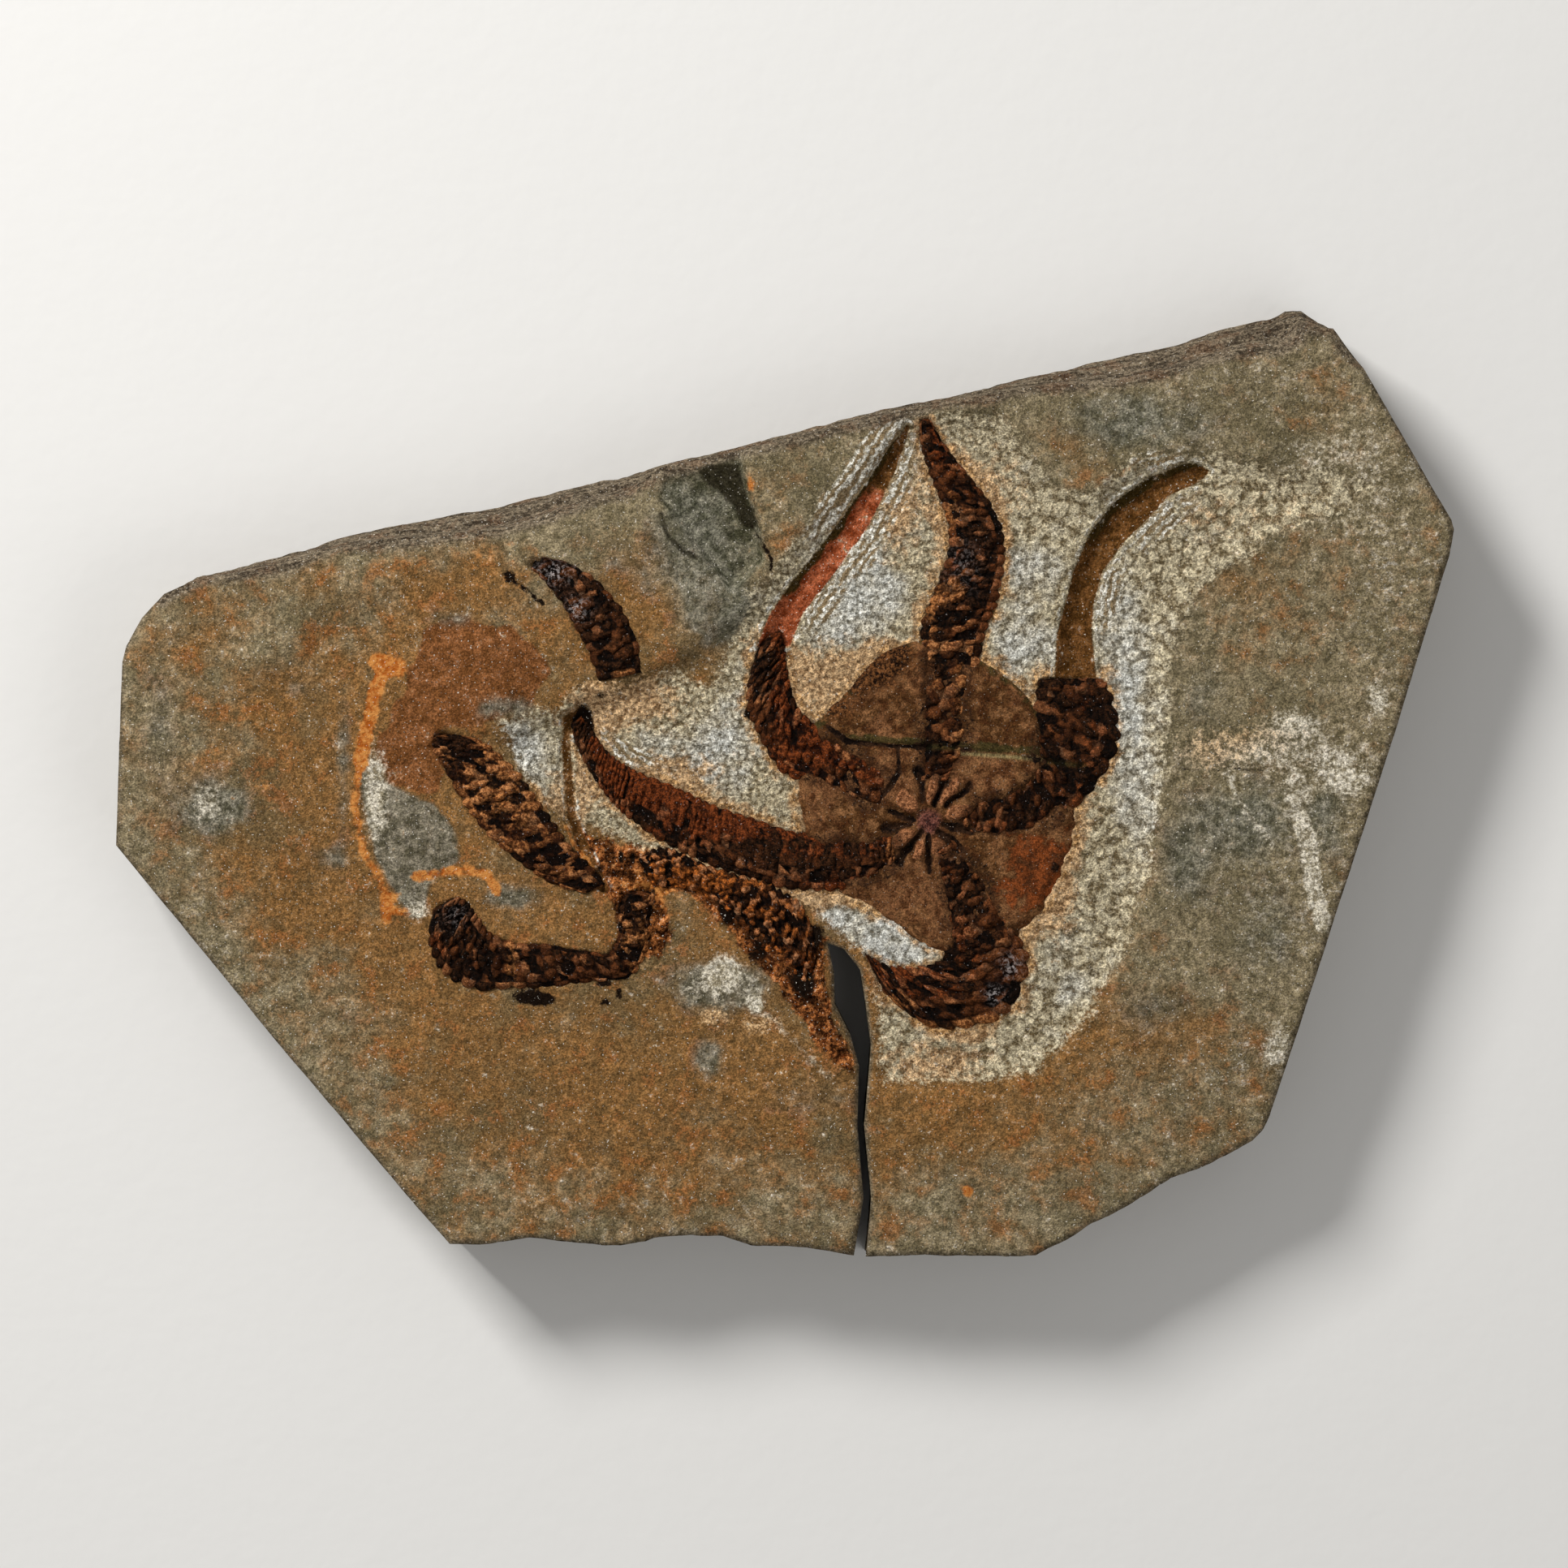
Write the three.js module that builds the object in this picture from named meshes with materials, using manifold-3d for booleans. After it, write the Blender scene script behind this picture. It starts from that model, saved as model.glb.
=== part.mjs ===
// Fossil brittle star in an irregular slab of brown siltstone, in millimetres, +Z up.
// The slab lies on its flat underside at z = 0, with the bedding plane and its fossils facing up.
// The origin is the middle of the slab's length and width, on the underside.

import * as THREE from 'three';
import { mergeVertices } from 'three/addons/utils/BufferGeometryUtils.js';
import Module from 'manifold-3d';

const wasm = await Module();
wasm.setup();

// Driving dimensions
const SLAB_LENGTH = 150;
const SLAB_WIDTH = 106.8;
const BED_HEIGHT = 13; // mean height of the unprepared bedding plane
const SWELL = 0.35; // height of the plane's broad waves
const HOLLOW_DEPTH = 1.4; // basin cleared around the star, below the bedding plane
const HOLLOW_SHOULDER = 3.2; // width of the basin's sloping rim
const CHIP_DEPTH = 2; // deepest part of the flake lost from the upper edge
const PATCH_RISE = 0.5; // the smooth oval patch left of the star
const PATCH_RIM = 4;
const GROOVE_DEPTH = 1; // impressions of the two arm ends that are lost
const ARM_RISE = 1.1; // arms above the bed
const ARM_SEAT = 0.8; // arms below the bed
const PLATE_PITCH = 2.6; // one pair of arm plates to the next
const DISC_RISE = 0.45;
const DISC_SEAT = 1.8;
const JAW_RISE = 0.6;
const MOUTH_DEPTH = 1.2;
const CLEARANCE = 0.3; // between each fossil piece and what it lies in
const SEAT_PITCH = 2.8; // spacing of the sections along a seat
const BED_CELL = 3.3; // spacing of the bedding plane's grid

// Slab outline, clockwise from the upper left corner. Each point is x, y and how far the top face
// is set back from the foot of the side there; a negative number sets the foot back instead.
const BROKEN_UPPER_EDGE = [
  [-66.3, 23.4, 0.5], [-57.9, 25.4, 0.9], [-50.6, 27.6, 1.2], [-44.8, 29, 1.6], [-37.5, 30.4, 2.6],
  [-32.4, 31.3, 3], [-25, 33.2, 2.4], [-18, 34.9, 2.2], [-13.6, 36, 0.5], [-8.7, 37.1, 0.6],
  [-2.5, 38.7, 0.8], [6.4, 41.2, 1], [14.1, 43, 1.2], [18.4, 43.7, 1], [25.9, 45.6, 1.4],
  [35.4, 47.8, 2.8], [42.3, 49.1, 2.8], [49.3, 51.3, 3.2], [54.4, 52.5, 3.8], [56.5, 53.4, 3.4],
  [58.4, 53.4, 2.2], [61.8, 51.2, 0.3],
];
const SAWN_RIGHT_EDGE = [
  [64.8, 46.5, 0], [74.7, 29.4, 0], [75, 28.3, 0], [74.4, 25.3, 0], [68.3, 5.3, 0], [58.1, -26.1, 0],
  [54.3, -37.6, 0], [53.6, -39.1, 0], [52.4, -40.3, 0],
];
const BROKEN_LOWER_EDGE = [
  [47.8, -43.1, -0.8], [43.3, -44.6, -1.2], [40.4, -46.7, -0.8], [33.7, -50.1, -1.2],
  [28.2, -53.3, -0.9], [23.8, -53.4, -0.6], [16.6, -53.3, -1], [9, -53.2, 0],
];
const CRACK = [
  [9.6, -46.6, 0], [8.8, -38.5, 0], [9.6, -29.5, 0], [9, -24.9, 0], [8.4, -21.1, 0], [6.6, -18.8, 0],
  [4.8, -18.1, 0], [5.5, -21.4, 0], [5.6, -24.9, 0], [7.3, -28.3, 0], [8.3, -31.8, 0],
  [8.1, -38.5, 0], [8.8, -46.6, 0], [7.7, -53.1, 0],
];
const RAGGED_FOOT_EDGE = [
  [2.4, -52.3, -0.8], [-3.9, -52.2, -1.1], [-7, -51.1, -0.7], [-14.7, -51.4, -1], [-18.5, -52.2, -0.7],
  [-28.6, -51.3, -1.1], [-34.2, -51.9, -0.6],
];
const SAWN_LEFT_EDGE = [
  [-37.6, -51.8, 0], [-42.5, -46.3, 0], [-58, -28, 0], [-75, -7.1, 0], [-74.7, 2.1, 0],
  [-74.3, 13.5, 0], [-73.9, 15.2, 0], [-72.1, 18.4, 0], [-69.7, 21.1, 0],
];
const OUTLINE = [
  ...BROKEN_UPPER_EDGE, ...SAWN_RIGHT_EDGE, ...BROKEN_LOWER_EDGE, ...CRACK, ...RAGGED_FOOT_EDGE,
  ...SAWN_LEFT_EDGE,
];

// Heights up the side, each with the share of the set-back reached there: one ledge of bedding
const SIDE_LEVELS = [[0, 0.15], [4, 0], [7.6, 0.35], [8.4, 0.7], [16, 1.15]];

// Basin cleared around the star
const HOLLOW = [
  [16.6, 41.7], [23.9, 42.2], [28.4, 36.7], [33.9, 33.1], [39.3, 36.7], [46.6, 38.1], [53.9, 36.7],
  [61.2, 34.4], [62.1, 31.2], [55.7, 28.5], [48.4, 24], [43.9, 18.1], [42.5, 10.3], [42.1, -8.8],
  [39.8, -17], [36.2, -24.2], [31.2, -30.6], [26.6, -33.8], [17.5, -35.2], [10.2, -35.2],
  [4.8, -26.1], [-0.7, -19.7], [-6.1, -14.2], [-15.2, -10.1], [-24.3, -8.8], [-28, -2],
  [-33.4, 4.4], [-28.9, 7.6], [-18.9, 11.2], [-10.7, 15.8], [-4.3, 20.3], [0.7, 26.7], [6.6, 34],
  [13.9, 41.3],
];

// Flake lost from the upper edge, deepest along its right scarp
const CHIP = [
  [-14.1, 40], [-5.7, 41], [-3.9, 34], [-1.9, 24.7], [-6.1, 21.2], [-9.6, 24.9], [-12.1, 28.5],
  [-14.1, 31.2],
];

// Smooth oval patch beside the middle stray arm
const PATCH = [
  [-44.3, 12], [-41, 16], [-34, 18.6], [-27.5, 17], [-26, 12], [-29, 6.5], [-35, 4], [-41, 4.5],
  [-44, 8],
];

// Arms and grooves as ribbons seen from above. Each station is the left margin's x, y and the
// right margin's x, y, from the mouth outwards.
const ARMS = {
  arm_north: [
    [15.3, -0.1, 18.4, -0.1], [14.9, 2.1, 19.9, 2.1], [14.7, 5.3, 20.8, 5.3], [14.8, 9.3, 20.9, 9.3],
    [14.9, 13.8, 21.8, 13.8], [15.1, 16.9, 22.6, 16.9], [16, 19.9, 23.6, 19.9],
    [17.3, 22.9, 24.4, 22.9], [18.3, 25.9, 24.7, 25.9], [18.2, 28.9, 24.2, 28.9],
    [17.2, 32, 22.5, 32], [16, 34.9, 20.2, 34.9], [15.1, 38, 17.8, 38], [15.1, 41, 16.1, 41],
  ],
  arm_west: [
    [12.4, -9.5, 12.8, -5.3], [9.9, -11.2, 9.7, -5.8], [5.5, -12.1, 5.5, -5.8],
    [0.7, -12.1, 1.1, -5.5], [-4.3, -10.9, -3.7, -4], [-9.1, -9.1, -8.3, -2.5],
    [-12.9, -7.3, -11.2, -0.9], [-17.1, -4.4, -15.9, 1], [-19.3, -2.6, -18.2, 2.1],
    [-21.4, 0.3, -20.2, 3.8], [-23.2, 3.5, -21.8, 6.1], [-24.1, 6.5, -22.9, 7.4],
  ],
  arm_northwest: [
    [11, -3.7, 12.1, 0.8], [6.8, -2.2, 8.4, 3.8], [3.4, -0.4, 4.8, 5.8], [-0.5, 1.2, 2, 7.8],
    [-3, 5, 0.7, 10.3], [-4.2, 8.5, 0.2, 13.1], [-4.1, 11.7, 0, 15.3], [-3, 15.8, -0.5, 17.1],
  ],
  arm_east: [
    [19.3, -2.6, 19.3, -4.8], [21.1, -1.9, 21.1, -6], [24, -0.7, 23.4, -6.8], [26.4, 0.3, 27, -6.2],
    [27.7, 2.1, 30.7, -4.4], [27.5, 4.4, 34.3, -1.3], [27.7, 6.7, 37, 3], [28, 9.4, 37, 7.6],
    [28.4, 11.9, 35.8, 11.8],
  ],
  arm_southeast: [
    [18.6, -6.2, 16.4, -7.1], [20.7, -8.1, 16.7, -9.7], [22.8, -10.6, 17.2, -12.4],
    [24.1, -13.1, 17.8, -15.6], [26.4, -17, 18.1, -18.3], [27.3, -20.6, 17.5, -19.9],
    [25.7, -25.2, 15.7, -20.6], [21.1, -27.5, 13.7, -20.9], [16.6, -27.7, 11.6, -20.6],
    [12.9, -25.4, 9.6, -19.5], [10.2, -22.6, 8.7, -18.9],
  ],
};
const STRAY_ARMS = {
  stray_arm_upper: [
    [-20.9, 11.1, -16, 12.1], [-22.1, 14.4, -16.3, 15.8], [-23.6, 17.1, -18, 19],
    [-25.2, 20.1, -20.5, 22.3], [-27.3, 22.8, -24.2, 24.7], [-29.2, 24.3, -28.4, 25.4],
  ],
  stray_arm_middle: [
    [-22.3, -12.7, -20, -11.5], [-26.5, -11.3, -22, -9.3], [-29.8, -9.2, -24.3, -7.1],
    [-33.4, -6, -26.5, -4], [-36, -2.9, -28.4, -1], [-38.2, 1.2, -30.7, 1.7],
    [-39.7, 4, -33.7, 4.4], [-39.4, 5.5, -38.4, 6],
  ],
  stray_arm_lower: [
    [-14.5, -12.4, -17.8, -12], [-15.1, -15.6, -18.7, -14.7], [-15.5, -19, -18.9, -17.4],
    [-17.5, -22.1, -20, -19.1], [-21.8, -22.5, -22.9, -18.7], [-25.4, -23, -26.6, -18],
    [-29.8, -23.2, -30.5, -17.9], [-34.8, -23.2, -33.2, -16.8], [-38.4, -21.3, -34.5, -15],
    [-39.8, -17.9, -35.6, -13.3], [-39.5, -14.1, -37.1, -12.8],
  ],
};
const CRUSHED_ARM = [
  [-16.5, -8.6, -15, -11.6], [-13.4, -7.4, -11.6, -12.4], [-8.9, -9.3, -7.5, -14.1],
  [-3.4, -11.1, -3.9, -17.9], [1, -13.1, -0.2, -22], [3.6, -17.4, 3.4, -25.4],
];
const GROOVES = [
  [
    [-3.6, 14.9, 0.7, 14.9], [-2, 19, 2.2, 18.7], [0.7, 22.9, 4.8, 22], [3.4, 26.2, 7, 24.9],
    [6.1, 29.9, 9.5, 28.3], [8.9, 33.8, 11.3, 32], [11.3, 37.6, 13.1, 35.8],
    [13.7, 40.6, 14.3, 39.9],
  ],
  [
    [29.9, 11.3, 35.2, 11.3], [30.2, 16.7, 34.7, 16.7], [31.2, 20.3, 34.9, 19.9],
    [32, 23.5, 35.9, 23.5], [33.9, 28.1, 38.4, 26.9], [36.8, 31.7, 41.2, 29.6],
    [40.7, 34.4, 43.4, 32], [44.8, 36, 46.2, 33.2], [48.9, 36.1, 49.2, 34],
  ],
];

// Disc: its radius every 15 degrees, counter-clockwise from +X, and the bearings of the five jaws
const DISC_CENTRE = new THREE.Vector2(16, -4.5);
const DISC_RADII = [
  16.7, 16.3, 16.2, 17.6, 18.5, 19.3, 20.7, 19.7, 17.4, 16.8, 17.4, 15.3, 14.4, 13.8, 13.5, 12.1,
  11.6, 12.1, 14.2, 16, 16.5, 16.3, 16.3, 16.2,
];
const JAW_BEARINGS = [3, 73, 140, 211, 295];
const JAW_RADII = [1.2, 4.2]; // where a jaw starts and ends, from the mouth

const { smoothstep, lerp, degToRad, radToDeg, euclideanModulo } = THREE.MathUtils;

// Distance from a plan point to an outline, positive inside it
function depthInside(outline, x, y) {
  let nearest = Infinity;
  let inside = false;
  outline.forEach(([ax, ay], i) => {
    const [bx, by] = outline[(i + 1) % outline.length];
    const along = ((x - ax) * (bx - ax) + (y - ay) * (by - ay)) / ((bx - ax) ** 2 + (by - ay) ** 2);
    const share = Math.min(Math.max(along, 0), 1);
    nearest = Math.min(nearest, Math.hypot(lerp(ax, bx, share) - x, lerp(ay, by, share) - y));
    if (ay > y !== by > y && x < ax + ((y - ay) * (bx - ax)) / (by - ay)) inside = !inside;
  });
  return inside ? nearest : -nearest;
}

// Height of the bedding plane: broad waves, the cleared basin, the lost flake and the oval patch
function bedHeight(x, y) {
  const waves = Math.sin(x / 19 + 0.6) + 0.8 * Math.cos(y / 15 - 0.4) + 0.5 * Math.sin((x + 2 * y) / 13);
  const basin = smoothstep(depthInside(HOLLOW, x, y), -0.4, HOLLOW_SHOULDER);
  const chip = smoothstep(depthInside(CHIP, x, y), 0, 1);
  const towardsScarp = smoothstep(x, -15, -3);
  const patch = smoothstep(depthInside(PATCH, x, y), 0, PATCH_RIM);
  return (
    BED_HEIGHT + SWELL * waves - HOLLOW_DEPTH * basin - CHIP_DEPTH * chip * lerp(0.3, 1, towardsScarp)
    + PATCH_RISE * patch
  );
}

// Moves every corner of a geometry to where the function puts it
function reshape(geometry, place) {
  const positions = geometry.attributes.position;
  const point = new THREE.Vector3();
  for (let i = 0; i < positions.count; i += 1) {
    point.fromBufferAttribute(positions, i);
    positions.setXYZ(i, ...place(point));
  }
  return geometry;
}

function solid(geometry) {
  const bare = geometry.clone();
  bare.deleteAttribute('normal');
  bare.deleteAttribute('uv');
  const welded = mergeVertices(bare);
  const vertProperties = new Float32Array(welded.attributes.position.array);
  const triVerts = new Uint32Array(welded.index.array);
  return new wasm.Manifold(new wasm.Mesh({ numProp: 3, vertProperties, triVerts }));
}

function geometryOf(body) {
  const { vertProperties, triVerts } = body.getMesh();
  const geometry = new THREE.BufferGeometry();
  geometry.setAttribute('position', new THREE.BufferAttribute(vertProperties, 3));
  geometry.setIndex(new THREE.BufferAttribute(triVerts, 1));
  geometry.computeVertexNormals();
  return geometry;
}

// A strip of bed between two margins, from which arms, their seats and the grooves are swept
class Ribbon {
  constructor(stations) {
    this.left = new THREE.SplineCurve(stations.map(([x, y]) => new THREE.Vector2(x, y)));
    this.right = new THREE.SplineCurve(stations.map(([, , x, y]) => new THREE.Vector2(x, y)));
    this.length = (this.left.getLength() + this.right.getLength()) / 2;
  }

  // Middle, half width and direction to the right at a share of the length
  section(share) {
    const left = this.left.getPoint(share);
    const right = this.right.getPoint(share);
    const rightwards = right.clone().sub(left);
    const half = rightwards.length() / 2;
    return { middle: left.add(right).divideScalar(2), half, rightwards: rightwards.normalize() };
  }
}

// Sweeps a closed section along a ribbon. The section lists corners as [across, height above the
// bed], clockwise when looking along the ribbon; detail(ring, corner) may scale both of them.
function sweep(ribbon, section, ringPitch, margin = 0, detail = () => [1, 1]) {
  const rings = Math.max(3, Math.round(ribbon.length / ringPitch));
  const tube = new THREE.CylinderGeometry(1, 1, 1, section.length, rings);
  const coreHeight = section.reduce((sum, [, height]) => sum + height, 0) / section.length;
  return reshape(tube, ({ x, y, z }) => {
    const share = y + 0.5;
    const { middle, half, rightwards } = ribbon.section(share);
    const turn = euclideanModulo(Math.atan2(x, z) / (2 * Math.PI), 1);
    const corner = Math.round(turn * section.length) % section.length;
    const isCore = Math.hypot(x, z) < 0.5;
    const [across, height] = isCore ? [0, coreHeight] : section[corner];
    const [widen, lift] = isCore ? [1, 1] : detail(Math.round(share * rings), corner);
    const base = bedHeight(middle.x, middle.y);
    const end = share === 0 ? -margin : share === 1 ? margin : 0;
    const side = across * widen * (half + margin);
    return [
      middle.x + rightwards.x * side - rightwards.y * end,
      middle.y + rightwards.y * side + rightwards.x * end,
      base + height * (height > 0 ? lift : 1),
    ];
  });
}

// Corner order: crest line, right row, right margin, underside, left margin, left row
const ARM_SECTION = [
  [0, 0.75 * ARM_RISE], [0.55, ARM_RISE], [1, 0.3 * ARM_RISE], [0.9, -ARM_SEAT], [0, -ARM_SEAT],
  [-0.9, -ARM_SEAT], [-1, 0.3 * ARM_RISE], [-0.55, ARM_RISE],
];
const SEAT_TOP = 4;
const SEAT_FLOOR = -(ARM_SEAT + CLEARANCE);
const SEAT_SECTION = [[-1, SEAT_TOP], [1, SEAT_TOP], [1, SEAT_FLOOR], [-1, SEAT_FLOOR]];
const GROOVE_SECTION = [
  [-1.1, SEAT_TOP], [1.1, SEAT_TOP], [1, 0], [0.6, -0.75 * GROOVE_DEPTH], [0, -GROOVE_DEPTH],
  [-0.6, -0.75 * GROOVE_DEPTH], [-1, 0],
];

// Plates stand out on every second ring, on the rows and the margins
const plates = (ring) => (ring % 2 ? [1, 1] : [0.93, 0.68]);
const rubble = (ring, corner) => [1, 0.55 + 0.5 * Math.abs(Math.sin(ring * 2.3 + corner * 1.7))];

const arm = (stations, detail) => (
  solid(sweep(new Ribbon(stations), ARM_SECTION, PLATE_PITCH / 2, 0, detail))
);
const seat = (stations) => solid(sweep(new Ribbon(stations), SEAT_SECTION, SEAT_PITCH, CLEARANCE));
const groove = (stations) => solid(sweep(new Ribbon(stations), GROOVE_SECTION, BED_CELL));

function discRadius(bearing) {
  const step = euclideanModulo(radToDeg(bearing), 360) / (360 / DISC_RADII.length);
  const first = Math.floor(step) % DISC_RADII.length;
  return lerp(DISC_RADII[first], DISC_RADII[(first + 1) % DISC_RADII.length], step - Math.floor(step));
}

// How far the disc's top stands above the bed: skin between the arms, five jaws, the mouth
function discRelief(radius, bearing) {
  const offJaw = JAW_BEARINGS.map((jaw) => (
    Math.abs(euclideanModulo(radToDeg(bearing) - jaw + 180, 360) - 180)
  ));
  const [start, end] = JAW_RADII;
  const onJaw = smoothstep(radius, 0, start) * (1 - smoothstep(radius, end - 0.5, end));
  const jaw = onJaw * (1 - smoothstep(Math.min(...offJaw), 8, 26));
  const mouth = 1 - smoothstep(radius, 0, start);
  return DISC_RISE + JAW_RISE * jaw - MOUTH_DEPTH * mouth;
}

// A plate turned about the mouth: the profile holds shares of the disc's radius, and the top
// follows the bed at the height that relief gives
function discBody(shares, spokes, floor, margin, relief) {
  const topShares = [...shares].reverse();
  const profile = [
    ...shares.map((share) => new THREE.Vector2(share, -1)),
    ...topShares.map((share) => new THREE.Vector2(share, 1)),
  ];
  const turned = new THREE.LatheGeometry(profile, spokes).rotateX(Math.PI / 2);
  return solid(reshape(turned, ({ x, y, z }) => {
    const bearing = Math.atan2(y, x);
    const radius = Math.hypot(x, y) * (discRadius(bearing) + margin);
    const px = DISC_CENTRE.x + radius * Math.cos(bearing);
    const py = DISC_CENTRE.y + radius * Math.sin(bearing);
    return [px, py, bedHeight(px, py) + (z > 0 ? relief(radius, bearing) : floor)];
  }));
}

const DISC_SHARES = [0, 0.07, 0.16, 0.25, 0.5, 0.95, 1];
const DISC_SPOKES = 40;
const PIT_SHARES = [0, 0.5, 1];

function disc(seats) {
  const plate = discBody(DISC_SHARES, DISC_SPOKES, -DISC_SEAT, 0, discRelief);
  return seats.reduce((body, cutter) => body.subtract(cutter), plate);
}

const discSeat = () => (
  discBody(PIT_SHARES, DISC_RADII.length, -(DISC_SEAT + CLEARANCE), CLEARANCE, () => SEAT_TOP)
);

// Plan position of an outline point once the side is set back by its share at a level
function setBack(index, share) {
  const [x, y, amount] = OUTLINE[index];
  const [bx, by] = OUTLINE[(index + OUTLINE.length - 1) % OUTLINE.length];
  const [cx, cy] = OUTLINE[(index + 1) % OUTLINE.length];
  const inwards = new THREE.Vector2(cy - by, bx - cx).normalize();
  const inset = amount >= 0 ? amount * share : -amount * Math.max(0, 1 - share);
  return [x + inwards.x * inset, y + inwards.y * inset];
}

// The slab's sides: its outline raised through the side levels
function sides() {
  const shape = new THREE.Shape(OUTLINE.map(([x, y]) => new THREE.Vector2(x, y)));
  const steps = SIDE_LEVELS.length - 1;
  const prism = new THREE.ExtrudeGeometry(shape, { depth: steps, steps, bevelEnabled: false });
  return solid(reshape(prism, ({ x, y, z }) => {
    const index = OUTLINE.findIndex(([ox, oy]) => Math.hypot(ox - x, oy - y) < 0.01);
    const [height, share] = SIDE_LEVELS[Math.round(z)];
    return [...setBack(index, share), height];
  }));
}

// A block whose top is the bedding plane, larger all round than the slab
function bedding() {
  const length = SLAB_LENGTH + 2 * BED_CELL;
  const width = SLAB_WIDTH + 2 * BED_CELL;
  const columns = Math.round(length / BED_CELL);
  const rows = Math.round(width / BED_CELL);
  const block = new THREE.BoxGeometry(length, width, 2, columns, rows, 1);
  return solid(reshape(block, ({ x, y, z }) => [x, y, z > 0 ? bedHeight(x, y) : -1]));
}

function slab(cutters) {
  return cutters.reduce((body, cutter) => body.subtract(cutter), bedding().intersect(sides()));
}

function named(name, body, material) {
  const mesh = new THREE.Mesh(geometryOf(body), material);
  mesh.name = name;
  return mesh;
}

const stone = () => new THREE.MeshStandardMaterial({ color: 0x73553a, roughness: 0.92, metalness: 0 });
const membrane = () => new THREE.MeshStandardMaterial({ color: 0x6b3f28, roughness: 0.7, metalness: 0 });
const darkPlates = () => new THREE.MeshStandardMaterial({ color: 0x2b1912, roughness: 0.5, metalness: 0 });
const rustPlates = () => new THREE.MeshStandardMaterial({ color: 0x5a3019, roughness: 0.7, metalness: 0 });

const starSeats = Object.values(ARMS).map(seat);
const straySeats = Object.values(STRAY_ARMS).map(seat);
const crushed = [starSeats[1], straySeats[2]].reduce(
  (body, cutter) => body.subtract(cutter),
  arm(CRUSHED_ARM, rubble),
);

const fossil = new THREE.Group();
fossil.name = 'fossil_brittle_star';
fossil.add(
  named(
    'slab',
    slab([discSeat(), ...starSeats, ...straySeats, seat(CRUSHED_ARM), ...GROOVES.map(groove)]),
    stone(),
  ),
  named('disc', disc(starSeats), membrane()),
  ...Object.entries(ARMS).map(([name, stations]) => named(name, arm(stations, plates), darkPlates())),
  ...Object.entries(STRAY_ARMS).map(([name, stations]) => named(name, arm(stations, plates), darkPlates())),
  named('crushed_arm', crushed, rustPlates()),
);

export default fossil;
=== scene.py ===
"""Fossil brittle star in a cracked slab of brown siltstone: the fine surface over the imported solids.

Plan coordinates and heights in the functions below are millimetres in the CAD frame. Meshes are
scaled to metres as they are made.
"""
import math

import bpy
import numpy as np
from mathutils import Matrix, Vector
from mathutils.geometry import delaunay_2d_cdt


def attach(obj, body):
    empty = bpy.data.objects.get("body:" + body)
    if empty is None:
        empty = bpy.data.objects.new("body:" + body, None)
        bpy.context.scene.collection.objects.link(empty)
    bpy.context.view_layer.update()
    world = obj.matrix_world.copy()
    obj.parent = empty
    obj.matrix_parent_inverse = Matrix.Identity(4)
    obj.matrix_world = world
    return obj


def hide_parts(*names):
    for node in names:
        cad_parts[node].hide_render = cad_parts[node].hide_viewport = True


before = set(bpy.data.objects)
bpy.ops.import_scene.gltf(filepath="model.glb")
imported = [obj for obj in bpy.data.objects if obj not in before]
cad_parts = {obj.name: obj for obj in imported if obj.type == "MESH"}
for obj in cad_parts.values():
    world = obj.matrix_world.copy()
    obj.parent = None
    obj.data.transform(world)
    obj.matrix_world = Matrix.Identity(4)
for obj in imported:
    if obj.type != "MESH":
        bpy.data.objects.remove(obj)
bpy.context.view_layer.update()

MM = 0.001

# ---------------------------------------------------------------- sizes, as in the CAD model

SLAB_LENGTH, SLAB_WIDTH = 150, 106.8
BED_HEIGHT = 13
SWELL = 0.35
HOLLOW_DEPTH = 1.4
HOLLOW_SHOULDER = 3.2
CHIP_DEPTH = 2
PATCH_RISE = 0.5
PATCH_RIM = 4
GROOVE_DEPTH = 1
ARM_RISE = 1.1
ARM_SEAT = 0.8
DISC_RISE = 0.45
DISC_SEAT = 1.8

# Slab outline, clockwise: x, y and the set-back of the top face (negative: of the foot)
BROKEN_UPPER_EDGE = [
    (-66.3, 23.4, 0.5), (-57.9, 25.4, 0.9), (-50.6, 27.6, 1.2), (-44.8, 29, 1.6),
    (-37.5, 30.4, 2.6), (-32.4, 31.3, 3), (-25, 33.2, 2.4), (-18, 34.9, 2.2), (-13.6, 36, 0.5),
    (-8.7, 37.1, 0.6), (-2.5, 38.7, 0.8), (6.4, 41.2, 1), (14.1, 43, 1.2), (18.4, 43.7, 1),
    (25.9, 45.6, 1.4), (35.4, 47.8, 2.8), (42.3, 49.1, 2.8), (49.3, 51.3, 3.2),
    (54.4, 52.5, 3.8), (56.5, 53.4, 3.4), (58.4, 53.4, 2.2), (61.8, 51.2, 0.3),
]
SAWN_RIGHT_EDGE = [
    (64.8, 46.5, 0), (74.7, 29.4, 0), (75, 28.3, 0), (74.4, 25.3, 0), (68.3, 5.3, 0),
    (58.1, -26.1, 0), (54.3, -37.6, 0), (53.6, -39.1, 0), (52.4, -40.3, 0),
]
BROKEN_LOWER_EDGE = [
    (47.8, -43.1, -0.8), (43.3, -44.6, -1.2), (40.4, -46.7, -0.8), (33.7, -50.1, -1.2),
    (28.2, -53.3, -0.9), (23.8, -53.4, -0.6), (16.6, -53.3, -1), (9, -53.2, 0),
]
CRACK = [
    (9.6, -46.6, 0), (8.8, -38.5, 0), (9.6, -29.5, 0), (9, -24.9, 0), (8.4, -21.1, 0),
    (6.6, -18.8, 0), (4.8, -18.1, 0), (5.5, -21.4, 0), (5.6, -24.9, 0), (7.3, -28.3, 0),
    (8.3, -31.8, 0), (8.1, -38.5, 0), (8.8, -46.6, 0), (7.7, -53.1, 0),
]
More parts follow.
